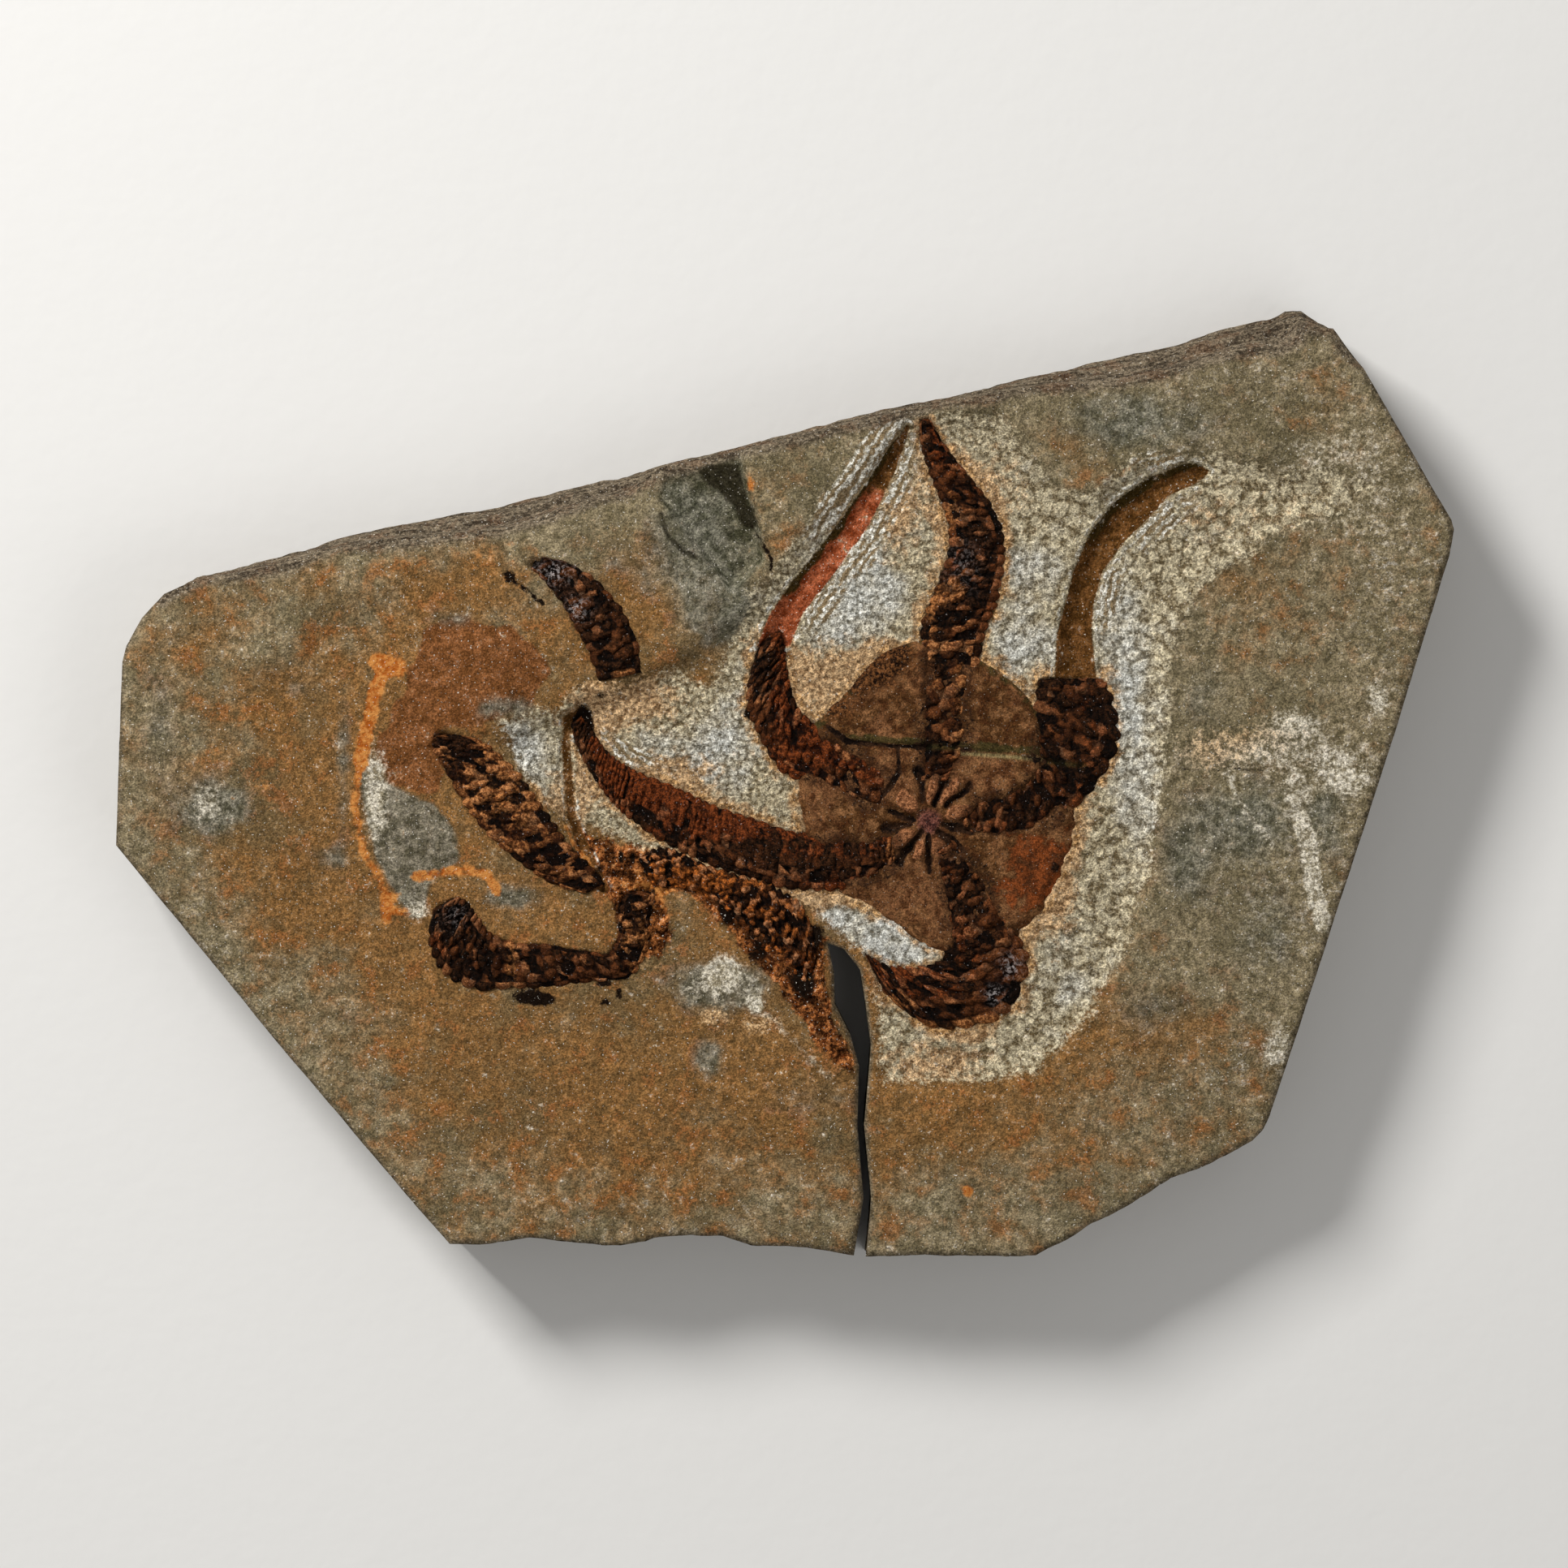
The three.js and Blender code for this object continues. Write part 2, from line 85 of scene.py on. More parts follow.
RAGGED_FOOT_EDGE = [
    (2.4, -52.3, -0.8), (-3.9, -52.2, -1.1), (-7, -51.1, -0.7), (-14.7, -51.4, -1),
    (-18.5, -52.2, -0.7), (-28.6, -51.3, -1.1), (-34.2, -51.9, -0.6),
]
SAWN_LEFT_EDGE = [
    (-37.6, -51.8, 0), (-42.5, -46.3, 0), (-58, -28, 0), (-75, -7.1, 0), (-74.7, 2.1, 0),
    (-74.3, 13.5, 0), (-73.9, 15.2, 0), (-72.1, 18.4, 0), (-69.7, 21.1, 0),
]
# Each stretch with how rough its side is
EDGES = [
    (BROKEN_UPPER_EDGE, 1.0), (SAWN_RIGHT_EDGE, 0.15), (BROKEN_LOWER_EDGE, 0.8), (CRACK, 0.12),
    (RAGGED_FOOT_EDGE, 0.8), (SAWN_LEFT_EDGE, 0.15),
]
# How much of the set-back is reached at heights up the side
SIDE_LEVELS = [(0, 0.15), (4, 0), (7.6, 0.35), (8.4, 0.7), (16, 1.15)]

# The hollow cleared round the star, the chip at the upper edge and the raised patch on the left
HOLLOW = [
    (16.6, 41.7), (23.9, 42.2), (28.4, 36.7), (33.9, 33.1), (39.3, 36.7), (46.6, 38.1),
    (53.9, 36.7), (61.2, 34.4), (62.1, 31.2), (55.7, 28.5), (48.4, 24), (43.9, 18.1),
    (42.5, 10.3), (42.1, -8.8), (39.8, -17), (36.2, -24.2), (31.2, -30.6), (26.6, -33.8),
    (17.5, -35.2), (10.2, -35.2), (4.8, -26.1), (-0.7, -19.7), (-6.1, -14.2), (-15.2, -10.1),
    (-24.3, -8.8), (-28, -2), (-33.4, 4.4), (-28.9, 7.6), (-18.9, 11.2), (-10.7, 15.8),
    (-4.3, 20.3), (0.7, 26.7), (6.6, 34), (13.9, 41.3),
]
CHIP = [
    (-14.1, 40), (-5.7, 41), (-3.9, 34), (-1.9, 24.7), (-6.1, 21.2), (-9.6, 24.9),
    (-12.1, 28.5), (-14.1, 31.2),
]
PATCH = [
    (-44.3, 12), (-41, 16), (-34, 18.6), (-27.5, 17), (-26, 12), (-29, 6.5), (-35, 4),
    (-41, 4.5), (-44, 8),
]

# Arms and grooves: left margin x, y and right margin x, y, from the mouth outwards
ARMS = {
    "arm_north": [
        (15.3, -0.1, 18.4, -0.1), (14.9, 2.1, 19.9, 2.1), (14.7, 5.3, 20.8, 5.3),
        (14.8, 9.3, 20.9, 9.3), (14.9, 13.8, 21.8, 13.8), (15.1, 16.9, 22.6, 16.9),
        (16, 19.9, 23.6, 19.9), (17.3, 22.9, 24.4, 22.9), (18.3, 25.9, 24.7, 25.9),
        (18.2, 28.9, 24.2, 28.9), (17.2, 32, 22.5, 32), (16, 34.9, 20.2, 34.9),
        (15.1, 38, 17.8, 38), (15.1, 41, 16.1, 41),
    ],
    "arm_west": [
        (12.4, -9.5, 12.8, -5.3), (9.9, -11.2, 9.7, -5.8), (5.5, -12.1, 5.5, -5.8),
        (0.7, -12.1, 1.1, -5.5), (-4.3, -10.9, -3.7, -4), (-9.1, -9.1, -8.3, -2.5),
        (-12.9, -7.3, -11.2, -0.9), (-17.1, -4.4, -15.9, 1), (-19.3, -2.6, -18.2, 2.1),
        (-21.4, 0.3, -20.2, 3.8), (-23.2, 3.5, -21.8, 6.1), (-24.1, 6.5, -22.9, 7.4),
    ],
    "arm_northwest": [
        (11, -3.7, 12.1, 0.8), (6.8, -2.2, 8.4, 3.8), (3.4, -0.4, 4.8, 5.8),
        (-0.5, 1.2, 2, 7.8), (-3, 5, 0.7, 10.3), (-4.2, 8.5, 0.2, 13.1), (-4.1, 11.7, 0, 15.3),
        (-3, 15.8, -0.5, 17.1),
    ],
    "arm_east": [
        (19.3, -2.6, 19.3, -4.8), (21.1, -1.9, 21.1, -6), (24, -0.7, 23.4, -6.8),
        (26.4, 0.3, 27, -6.2), (27.7, 2.1, 30.7, -4.4), (27.5, 4.4, 34.3, -1.3),
        (27.7, 6.7, 37, 3), (28, 9.4, 37, 7.6), (28.4, 11.9, 35.8, 11.8),
    ],
    "arm_southeast": [
        (18.6, -6.2, 16.4, -7.1), (20.7, -8.1, 16.7, -9.7), (22.8, -10.6, 17.2, -12.4),
        (24.1, -13.1, 17.8, -15.6), (26.4, -17, 18.1, -18.3), (27.3, -20.6, 17.5, -19.9),
        (25.7, -25.2, 15.7, -20.6), (21.1, -27.5, 13.7, -20.9), (16.6, -27.7, 11.6, -20.6),
        (12.9, -25.4, 9.6, -19.5), (10.2, -22.6, 8.7, -18.9),
    ],
}
STRAY_ARMS = {
    "stray_arm_upper": [
        (-20.9, 11.1, -16, 12.1), (-22.1, 14.4, -16.3, 15.8), (-23.6, 17.1, -18, 19),
        (-25.2, 20.1, -20.5, 22.3), (-27.3, 22.8, -24.2, 24.7), (-29.2, 24.3, -28.4, 25.4),
    ],
    "stray_arm_middle": [
        (-22.3, -12.7, -20, -11.5), (-26.5, -11.3, -22, -9.3), (-29.8, -9.2, -24.3, -7.1),
        (-33.4, -6, -26.5, -4), (-36, -2.9, -28.4, -1), (-38.2, 1.2, -30.7, 1.7),
        (-39.7, 4, -33.7, 4.4), (-39.4, 5.5, -38.4, 6),
    ],
    "stray_arm_lower": [
        (-14.5, -12.4, -17.8, -12), (-15.1, -15.6, -18.7, -14.7), (-15.5, -19, -18.9, -17.4),
        (-17.5, -22.1, -20, -19.1), (-21.8, -22.5, -22.9, -18.7), (-25.4, -23, -26.6, -18),
        (-29.8, -23.2, -30.5, -17.9), (-34.8, -23.2, -33.2, -16.8),
        (-38.4, -21.3, -34.5, -15), (-39.8, -17.9, -35.6, -13.3),
        (-39.5, -14.1, -37.1, -12.8),
    ],
}
CRUSHED_ARM = [
    (-16.5, -8.6, -15, -11.6), (-13.4, -7.4, -11.6, -12.4), (-8.9, -9.3, -7.5, -14.1),
    (-3.4, -11.1, -3.9, -17.9), (1, -13.1, -0.2, -22), (3.6, -17.4, 3.4, -25.4),
]
GROOVES = [
    [
        (-3.6, 14.9, 0.7, 14.9), (-2, 19, 2.2, 18.7), (0.7, 22.9, 4.8, 22), (3.4, 26.2, 7, 24.9),
        (6.1, 29.9, 9.5, 28.3), (8.9, 33.8, 11.3, 32), (11.3, 37.6, 13.1, 35.8),
        (13.7, 40.6, 14.3, 39.9),
    ],
    [
        (29.9, 11.3, 35.2, 11.3), (30.2, 16.7, 34.7, 16.7), (31.2, 20.3, 34.9, 19.9),
        (32, 23.5, 35.9, 23.5), (33.9, 28.1, 38.4, 26.9), (36.8, 31.7, 41.2, 29.6),
        (40.7, 34.4, 43.4, 32), (44.8, 36, 46.2, 33.2), (48.9, 36.1, 49.2, 34),
    ],
]

DISC_CENTRE = (16, -4.5)
DISC_RADII = [
    16.7, 16.3, 16.2, 17.6, 18.5, 19.3, 20.7, 19.7, 17.4, 16.8, 17.4, 15.3, 14.4, 13.8, 13.5,
    12.1, 11.6, 12.1, 14.2, 16, 16.5, 16.3, 16.3, 16.2,
]
# Jaws about the mouth: bearing in degrees, radius from and to, half width
JAWS = [
    (81, 1.8, 5.8, 0.75), (56, 2, 6, 0.75), (135, 1.6, 4.8, 1.1), (213, 1.8, 5.2, 0.9),
    (252, 1.8, 4.6, 0.7), (294, 1.8, 5, 0.85), (16, 1.6, 5.4, 0.9),
]
# Slits between them, cut in and painted dark as the shade in them: bearing, radius from and to
SLITS = [
    (69, 2, 4.6), (42, 2.6, 6.4), (101, 2.4, 5.8), (166, 1.8, 4.4), (186, 2.2, 5), (233, 1.4, 5.4),
    (272, 1.4, 5.6), (319, 1.6, 4.6), (346, 1.8, 4.8),
]

# ---------------------------------------------------------------- what lies on the bed

# Ground cleared with an air scribe, pale and finely pitted: it runs on under the arms and disc
SCRIBED = [
    (13.1, 41.1), (24.6, 41.9), (27.7, 36.7), (30.2, 33.6), (34, 32.6), (39, 37), (49, 37),
    (54.8, 34.9), (61.2, 35.3), (66.6, 33.1), (61.2, 29.4), (53.9, 26.9), (47.5, 21.7),
    (43.9, 14.9), (42.3, -3.3), (40.6, -12.4), (38.3, -19.7), (33.4, -27.9), (28.4, -32.6),
    (20.2, -33.8), (10.1, -34.7), (10.2, -26), (9.2, -20), (6.1, -17.6), (1.8, -14.8),
    (-3, -11.6), (-13.5, -8.4), (-18.5, -7), (-24.3, -5.1), (-26.5, -3.3), (-31.2, 3.5),
    (-33.4, 7.6), (-25.6, 8.4), (-25.2, 10.3), (-13.4, 12.5), (-8.7, 11.1), (-5.7, 17.1),
    (-3.4, 22.1), (4.8, 32.2),
]
# Grey ground on the left, rusty ground under the crushed arm, a red oval, and a wedge of painted
# shadow by the chip's scarp
GREY_LEFT = [
    (-47.7, 1.4), (-44.6, 0), (-39.1, -2.6), (-36.5, -5.8), (-36.5, -8.7), (-39.8, -12),
    (-40.9, -15.1), (-42.6, -14.8), (-46.3, -8),
]
RUST = [
    (-24.3, -4.2), (-16.1, -7), (-3.4, -11.1), (2, -13.8), (5, -17), (5.5, -25.2), (8.2, -33.3),
    (4.8, -31.1), (-5.7, -17), (-10.7, -12.4), (-13.9, -13.3), (-11.8, -17), (-13.9, -20.6),
    (-18.4, -19.9), (-19.6, -13.3), (-23.9, -9.2),
]
OVAL = [
    (-40.3, 17.3), (-35.6, 18.7), (-30.9, 18.2), (-27.6, 15.4), (-25.7, 12.1), (-29, 8.3),
    (-32.3, 6.4), (-39, 6), (-38.9, -1.1), (-44.6, -0.2), (-45.5, 3.6), (-42.7, 12.1),
]
CHIP_SHADOW_WEDGE = [
    (-10.7, 35.4), (-7.1, 36.2), (-5, 35.8), (-4.1, 32.4), (-3.1, 29), (-4.4, 28.8), (-6.2, 31.4),
    (-8.9, 33.4),
]

# Lines for each kind of ground: points, width and strength
LINES = {
    "orange": [
        ([(-44.9, 12.6), (-46, 10.2), (-46.5, 7.4), (-47.2, 4.5), (-47.6, 2.4)], 1.2, 1),
        ([(-45.6, 13.5), (-43.4, 12.8)], 1.6, 1),
        ([(-47.7, 1.4), (-48.2, -2.6), (-47.4, -7.4), (-45.4, -11), (-44.6, -15.6)], 0.8, 0.7),
        ([(-41.4, -10.6), (-38.4, -10.2), (-35.6, -9.8), (-33.4, -10.4), (-32.2, -12.3)], 0.9, 0.8),
        ([(-24.6, -5), (-23.6, -7.2), (-21.8, -9.6)], 0.5, 0.6),
    ],
    "pale": [
        ([(57.6, -4), (58.4, -6), (59.3, -12.4), (60.3, -16)], 1.1, 2),
        ([(49.6, 1), (51.4, -3), (54.6, -7)], 0.5, 0.6),
        ([(-3.6, -24.6), (0.5, -28.6), (4.6, -33)], 0.7, 0.35),
    ],
    # The chip's crack, one right of the star and the thread beside the upper stray arm: cut into the
    # bed and painted black as the shade in them
    "black": [
        ([(-4.6, 29.6), (-2.4, 26.4), (-1.5, 25), (-1.6, 23.6)], 0.3, 0.9),
        ([(44.6, 1.5), (47.5, 1.1), (49.6, 1.6), (53.9, 1.2)], 0.25, 0.7),
        ([(-31, 23), (-29.2, 21.6), (-27.2, 20)], 0.35, 1),
    ],
    # Painted shade along the chip's left edge, and dark streaks among the crushed and stray arms
    "shade": [
        ([(-14, 30.1), (-13.2, 27.7), (-11.4, 25.8), (-9.9, 25.1)], 0.6, 0.7),
        ([(-33, -13.2), (-27, -15.2), (-20.5, -15.8)], 0.15, 0.4),
        ([(-34, -14.6), (-28, -16.8), (-21, -17.3)], 0.2, 0.4),
        ([(-30, -12.4), (-25, -13.4), (-21, -13.6)], 0.15, 0.4),
        ([(-9.6, -14.2), (-8, -17), (-6.6, -19.6)], 0.25, 0.4),
    ],
}
# A shallow brown stripe with pale slopes beside arm_west
STRIPE = [(-22.8, 8), (-24.4, 7), (-24.6, 3.5), (-24, -4), (-22.2, -8.1), (-20.3, -11.9)]
STRIPE_WIDTH, STRIPE_SLOPES = 0.9, 1.8
# The olive fracture across disc and arms, and a crack in the disc
FRACTURE = [(4.8, 6.2), (7, 4.6), (12.1, 4), (18, 3.9), (24.8, 3.1), (29.3, 2.3), (33.4, 1.8)]
DISC_CRACK = [(12.6, 3.8), (12.8, 1.2), (11.9, -0.4), (10.4, -2)]
CRACK_WIDTH = 0.3
# Soft folds of the bed
FOLDS = [
    [(-11.5, -32.2), (-5.3, -35.3), (1.5, -39.7), (5.9, -45.2)],
    [(45.7, -21.5), (50.3, -27), (49.8, -32.4)], [(-60, 12), (-52, 20), (-42, 24)],
]

# Hollows at the tip of arm_west and among the crushed plates, cut in and painted black as the shade in
# them: soft spots as below
HOLES = [
    (-22.6, 6.7, 1.1, 2, 1.4), (-18.4, -8.4, 0.4, 1, 1), (-17.1, -8.5, 0.4, 1.2, 0.9),
    (-15.4, -12, 1.2, 0.6, 0.9), (-18.2, -14, 0.6, 1.2, 0.8), (-20.6, -9.6, 0.7, 0.6, 0.7),
]
# Soft spots for each kind of ground: x, y, radius across x, radius across y, strength
SPOTS = {
    "white": [
        (7.5, 20.3, 6, 8, 0.9), (-8.9, 3, 7, 4, 0.8), (-5, 11, 3, 6, 0.5), (13, -17.9, 5, 3, 1.6),
        (6, -15.4, 3, 2, 0.8), (-29.8, 3, 4, 4, 0.9), (40.3, -3.3, 4, 9, 0.5),
        (26.6, 14, 3.5, 4, 0.9), (33, -21.5, 5, 6, 0.5), (38.4, 7.6, 3, 8, 0.7),
        (37, 18, 3, 6, 0.6), (27, 24, 4, 6, 0.5),
    ],
    # Rubbed, pale ground outside the cleared hollow, and cream ground
    "pale": [
        (54, 3.2, 11, 2.4, 0.55), (56.8, 6.5, 2.5, 1.4, 0.8), (63.1, 0.6, 2.6, 2, 0.95),
        (66.4, 9.4, 1.4, 2, 0.7), (57.4, -1.5, 1.6, 3, 0.7), (55.3, -30, 2.2, 3, 0.6),
        (-46, -1.5, 1.4, 5, 0.9), (-41.5, -14.4, 1.5, 1, 0.9), (62, 34, 9, 7, 0.35),
        (-40, 28, 9, 1.2, 0.5), (-64.6, -2.2, 2, 2, 0.5), (-7, -21.8, 2, 2, 1.3),
        (-10.4, -23.2, 2.4, 1, 0.25), (-3.4, -24.6, 0.9, 1.8, 0.7),
    ],
    "cream": [
        (-8, -26.3, 1.8, 1.4, 0.9), (-2.9, -27.2, 2.4, 1.2, 0.8), (47.5, 3.4, 5, 3, 0.55),
        (55, 5, 6, 3, 0.4), (-24.8, -1.6, 1, 3, 0.5), (-15.6, -20.4, 3, 1, 0.4),
    ],
    # Ground strewn with fine pale specks
    "frost": [
        (60, -8, 11, 14, 0.75), (68, 24, 6, 12, 0.8), (50, 43, 14, 6, 0.6), (50, -32, 8, 7, 0.5),
        (-66, -18, 9, 10, 0.5), (56, -17, 4, 3, 0.6), (-20, -48, 30, 4, 0.25),
    ],
    "tan": [
        (-18, 9.4, 7, 3.5, 1), (3, 11.2, 5, 4, 1), (1.6, -13.1, 6, 1.6, 1),
        (16.6, -31.5, 7, 3, 0.8), (12.4, 31, 3, 6, 1), (9, 12.5, 5, 3, 0.8),
        (29.3, -14.2, 3, 4, 0.7), (23.9, 33.1, 5, 6, 0.5), (57.5, 29.4, 9, 4, 0.3),
        (-14, 1.2, 7, 2.2, 1), (-21, 6, 2, 3, 0.9), (-24.3, -3.3, 3, 5, 0.9), (31.5, -8, 2, 8, 0.6),
        (46, 30, 5, 4, 0.4),
    ],
    "grey": [
        (-63.8, -2.7, 3.6, 3.2, 1.4), (-37.1, 18.1, 3, 1.3, 0.8), (-9.5, 21, 3, 5, 0.7),
        (-30.7, -12.9, 3.5, 1.6, 1), (-8.4, -31, 1.8, 2.4, 1), (-7.3, -23, 5.2, 2.6, 1.7),
        (39.3, 40.3, 9, 4, 0.9), (52, -4, 6, 5, 0.9), (61, -4, 3, 5, 0.7), (44.8, -8.8, 4, 6, 0.8),
        (41.2, -26.1, 6, 4, 0.6), (-6.1, 18.5, 4, 4, 1), (53.9, -17, 5, 7, 0.6),
        (-54.5, 10.8, 3.4, 2, 0.5), (-49.6, 2, 1.1, 8, 0.7), (-51, -8.6, 3, 1.6, 0.6),
        (-50, -27, 4, 3, 0.35), (-10.7, 28.5, 5, 6, 1), (-69.8, 5.8, 3, 9, 0.6),
        (3, -35, 7, 2.5, 0.5), (47, 10, 4, 5, 0.5), (-31, 8.2, 4, 1.4, 0.9),
        (-18.8, 24.8, 2.6, 1.5, 0.5), (-15.4, 22.6, 2, 2, 0.5),
    ],
    "orange": [
        (-33, 25, 7, 4, 0.3), (-58, 0.3, 6, 6, 0.25), (20.4, -45.8, 0.7, 0.7, 1.2),
        (-15, -12, 4, 3, 0.5), (38, 35, 4, 1, 0.45), (-3.9, 33.3, 0.6, 0.9, 0.9),
        (-43.4, -14.6, 1.6, 0.7, 0.9), (-44.2, -12.8, 0.8, 1, 0.7),
    ],
    "warm": [
        (51, 20, 8, 9, 0.35), (33, 38, 4, 3, 0.4), (-2, 33, 4, 5, 0.45), (-16.5, 20.5, 4, 6, 0.7),
        (-36, 22, 8, 4, 0.6), (44, -28, 8, 4, 0.5), (60, 42, 4, 4, 0.4),
    ],
    # Darker ground: dark patches, and painted shade along the bed's folds
    "shade": [
        (-19.4, 22.2, 4.4, 3, 0.42), (24.6, -18.6, 3, 3, 0.3), (31, 13, 4, 2.4, 0.4),
        (-2.5, 19.5, 0.8, 3, 0.3), (-12.4, -15.4, 0.5, 2.6, 0.5), (41.5, -25, 1, 4, 0.35),
        (49, -30, 1, 4, 0.4), (46, -23, 4, 1, 0.35), (-38.5, 19.4, 4, 0.6, 0.4),
        (-24, 12, 2, 3, 0.3),
    ],
    # Black ground: painted shade in holes and pits, and in hollows by the arms
    "black": HOLES + [
        (-20.6, 9.7, 0.9, 0.7, 0.75), (-29.1, -24.1, 1.7, 0.8, 1.2), (-27, -24.4, 1.4, 0.8, 1.2),
        (-20.1, -24.7, 0.7, 0.5, 1.1), (-18.6, -23.7, 0.5, 0.8, 1), (-20.2, -22.6, 0.9, 0.4, 1),
        (-31, 23, 0.8, 0.8, 1.1), (-4.1, 7.6, 0.6, 0.6, 1.2), (-6.6, -14.6, 0.7, 1.8, 1),
        (-3.5, -19.5, 1.2, 1.8, 0.7), (3.6, -17, 1, 1.3, 1), (30.3, -9.6, 0.6, 0.9, 0.9),
        (-3.5, 31, 0.4, 1.6, 0.6), (2, -22.5, 1.2, 1.6, 0.7),
    ],
}
# Where scribe strokes show beside the grooves
STROKE_SPOTS = [
    (8, 37, 6, 5, 1.2), (4, 31, 4, 4, 0.8), (8.5, 27, 3, 5, 1.1), (4, 20, 2.5, 4, 1),
    (41, 29.5, 6, 4, 0.9), (36.4, 21, 2.4, 4, 0.8), (42, 36, 5, 1.5, 0.6), (12.5, 36, 1.5, 4, 0.9),
]


def fossil_polygon(stations):
    """The plan outline of a ribbon between its two margins."""
    return [s[:2] for s in stations] + [s[2:] for s in reversed(stations)]


def disc_outline():
    """The disc's outline, counter-clockwise."""
    step = 2 * math.pi / len(DISC_RADII)
    x0, y0 = DISC_CENTRE
    return [
        (x0 + radius * math.cos(k * step), y0 + radius * math.sin(k * step))
        for k, radius in enumerate(DISC_RADII)
    ]


# ---------------------------------------------------------------- numbers over the plan

HASH_X, HASH_Y, HASH_SEED = 374761393, 668265263, 144665
HASH_ROUNDS = ((13, 1274126177), (16, 362437))
HASH_WORD = 0xFFFFFFFF


def smoothstep(value, low, high):
    """0 up to low and 1 from high, with a soft rise between."""
    t = np.clip((value - low) / (high - low), 0, 1)
    return t * t * (3 - 2 * t)


def bell(value, width):
    """1 where a value is 0, and close to 0 from twice the width on."""
    return np.exp(-((value / width) ** 2))


def hashed(ix, iy, seed):
    """A fixed random number from 0 to 1 for each cell of a lattice."""
    n = (ix.astype(np.int64) * HASH_X + iy.astype(np.int64) * HASH_Y + seed * HASH_SEED) & HASH_WORD
    for shift, factor in HASH_ROUNDS:
        n = ((n ^ (n >> shift)) * factor) & HASH_WORD
    return ((n ^ (n >> 15)) & 0xFFFF) / 0xFFFF


def noise(x, y, size, seed=0):
    """Smooth noise from -1 to 1 with lumps about size across."""
    u, v = x / size, y / size
    iu, iv = np.floor(u), np.floor(v)
    fu, fv = smoothstep(u - iu, 0, 1), smoothstep(v - iv, 0, 1)
    low = hashed(iu, iv, seed) * (1 - fu) + hashed(iu + 1, iv, seed) * fu
    high = hashed(iu, iv + 1, seed) * (1 - fu) + hashed(iu + 1, iv + 1, seed) * fu
    return 2 * (low * (1 - fv) + high * fv) - 1


def rough(x, y, size, seed=0, octaves=4):
    """Layers of noise on a turned lattice, each half as large and as high as the one before."""
    u, v = x * 0.8 - y * 0.6, x * 0.6 + y * 0.8
    layers = range(octaves)
    total = sum(noise(u + 31 * k, v - 17 * k, size / 2**k, seed + k) / 2**k for k in layers)
    return total / (2 - 0.5 ** (octaves - 1))


def scattered(x, y, size, seed=0):
    """Distance to the nearest of scattered centres, in sizes, and that centre's random number."""
    u, v = x / size, y / size
    iu, iv = np.floor(u), np.floor(v)
    nearest = np.full(np.shape(u), 9.0)
    own = np.zeros(np.shape(u))
    for du in (-1, 0, 1):
        for dv in (-1, 0, 1):
            cu, cv = iu + du, iv + dv
            away = np.hypot(cu + hashed(cu, cv, seed) - u, cv + hashed(cu, cv, seed + 1) - v)
            own = np.where(away < nearest, hashed(cu, cv, seed + 2), own)
            nearest = np.minimum(away, nearest)
    return nearest, own


def to_segment(x, y, a, b):
    """Distance from points to one segment."""
    (ax, ay), (bx, by) = a[:2], b[:2]
    along = ((x - ax) * (bx - ax) + (y - ay) * (by - ay)) / ((bx - ax) ** 2 + (by - ay) ** 2)
    along = np.clip(along, 0, 1)
    return np.hypot(ax + along * (bx - ax) - x, ay + along * (by - ay) - y)


def depth_inside(outline, x, y):
    """Distance to an outline, positive inside it."""
    nearest = np.full(np.shape(x), np.inf)
    inside = np.zeros(np.shape(x), bool)
    for a, b in zip(outline, outline[1:] + outline[:1]):
        nearest = np.minimum(nearest, to_segment(x, y, a, b))
        if a[1] != b[1]:
            crosses = (a[1] > y) != (b[1] > y)
            inside ^= crosses & (x < a[0] + (y - a[1]) * (b[0] - a[0]) / (b[1] - a[1]))
    return np.where(inside, nearest, -nearest)


def region(outline, x, y, wander, low, high):
    """1 inside an outline, fading to 0 past its edge, which wanders."""
    return smoothstep(depth_inside(outline, x, y) + wander, low, high)


def line_distance(points, x, y):
    """Distance to a line through points."""
    return np.min([to_segment(x, y, a, b) for a, b in zip(points, points[1:])], axis=0)


def on_line(points, width, x, y, soft=0.5):
    """1 on a line, fading to 0 past its width."""
    return 1 - smoothstep(line_distance(points, x, y), width / 2 - soft / 2, width / 2 + soft)


def drawn(lines, x, y):
    """The lines of a table, added up: wide ones have softer edges."""
    return sum(power * on_line(line, width, x, y, 0.3 + 0.4 * width) for line, width, power in lines)


def spots(table, x, y):
    """The soft spots of a table, added up."""
    return sum(power * bell(x - sx, rx) * bell(y - sy, ry) for sx, sy, rx, ry, power in table)


class Ribbon:
    """A strip of bed between two margins, each a Catmull-Rom curve through its stations."""

    def __init__(self, stations):
        self.stations = np.array(stations, float)
        middle = self.at(np.linspace(0, 1, 400))[0]
        self.length = np.hypot(*np.diff(middle, axis=0).T).sum()

    def at(self, share):
        """Middle, half width and direction to the right at shares of the length."""
        count = len(self.stations)
        place = np.clip(share, 0, 1) * (count - 1)
        first = np.minimum(np.floor(place).astype(int), count - 2)
        t = (place - first)[:, None]
        p0, p1, p2, p3 = (self.stations[np.clip(first + k, 0, count - 1)] for k in (-1, 0, 1, 2))
        v0, v1 = (p2 - p0) / 2, (p3 - p1) / 2
        cubic, square = 2 * p1 - 2 * p2 + v0 + v1, -3 * p1 + 3 * p2 - 2 * v0 - v1
        left, right = np.split(cubic * t**3 + square * t**2 + v0 * t + p1, 2, axis=1)
        across = right - left
        half = np.hypot(*across.T) / 2
        return (left + right) / 2, half, across / (2 * half[:, None])


# ---------------------------------------------------------------- the bed


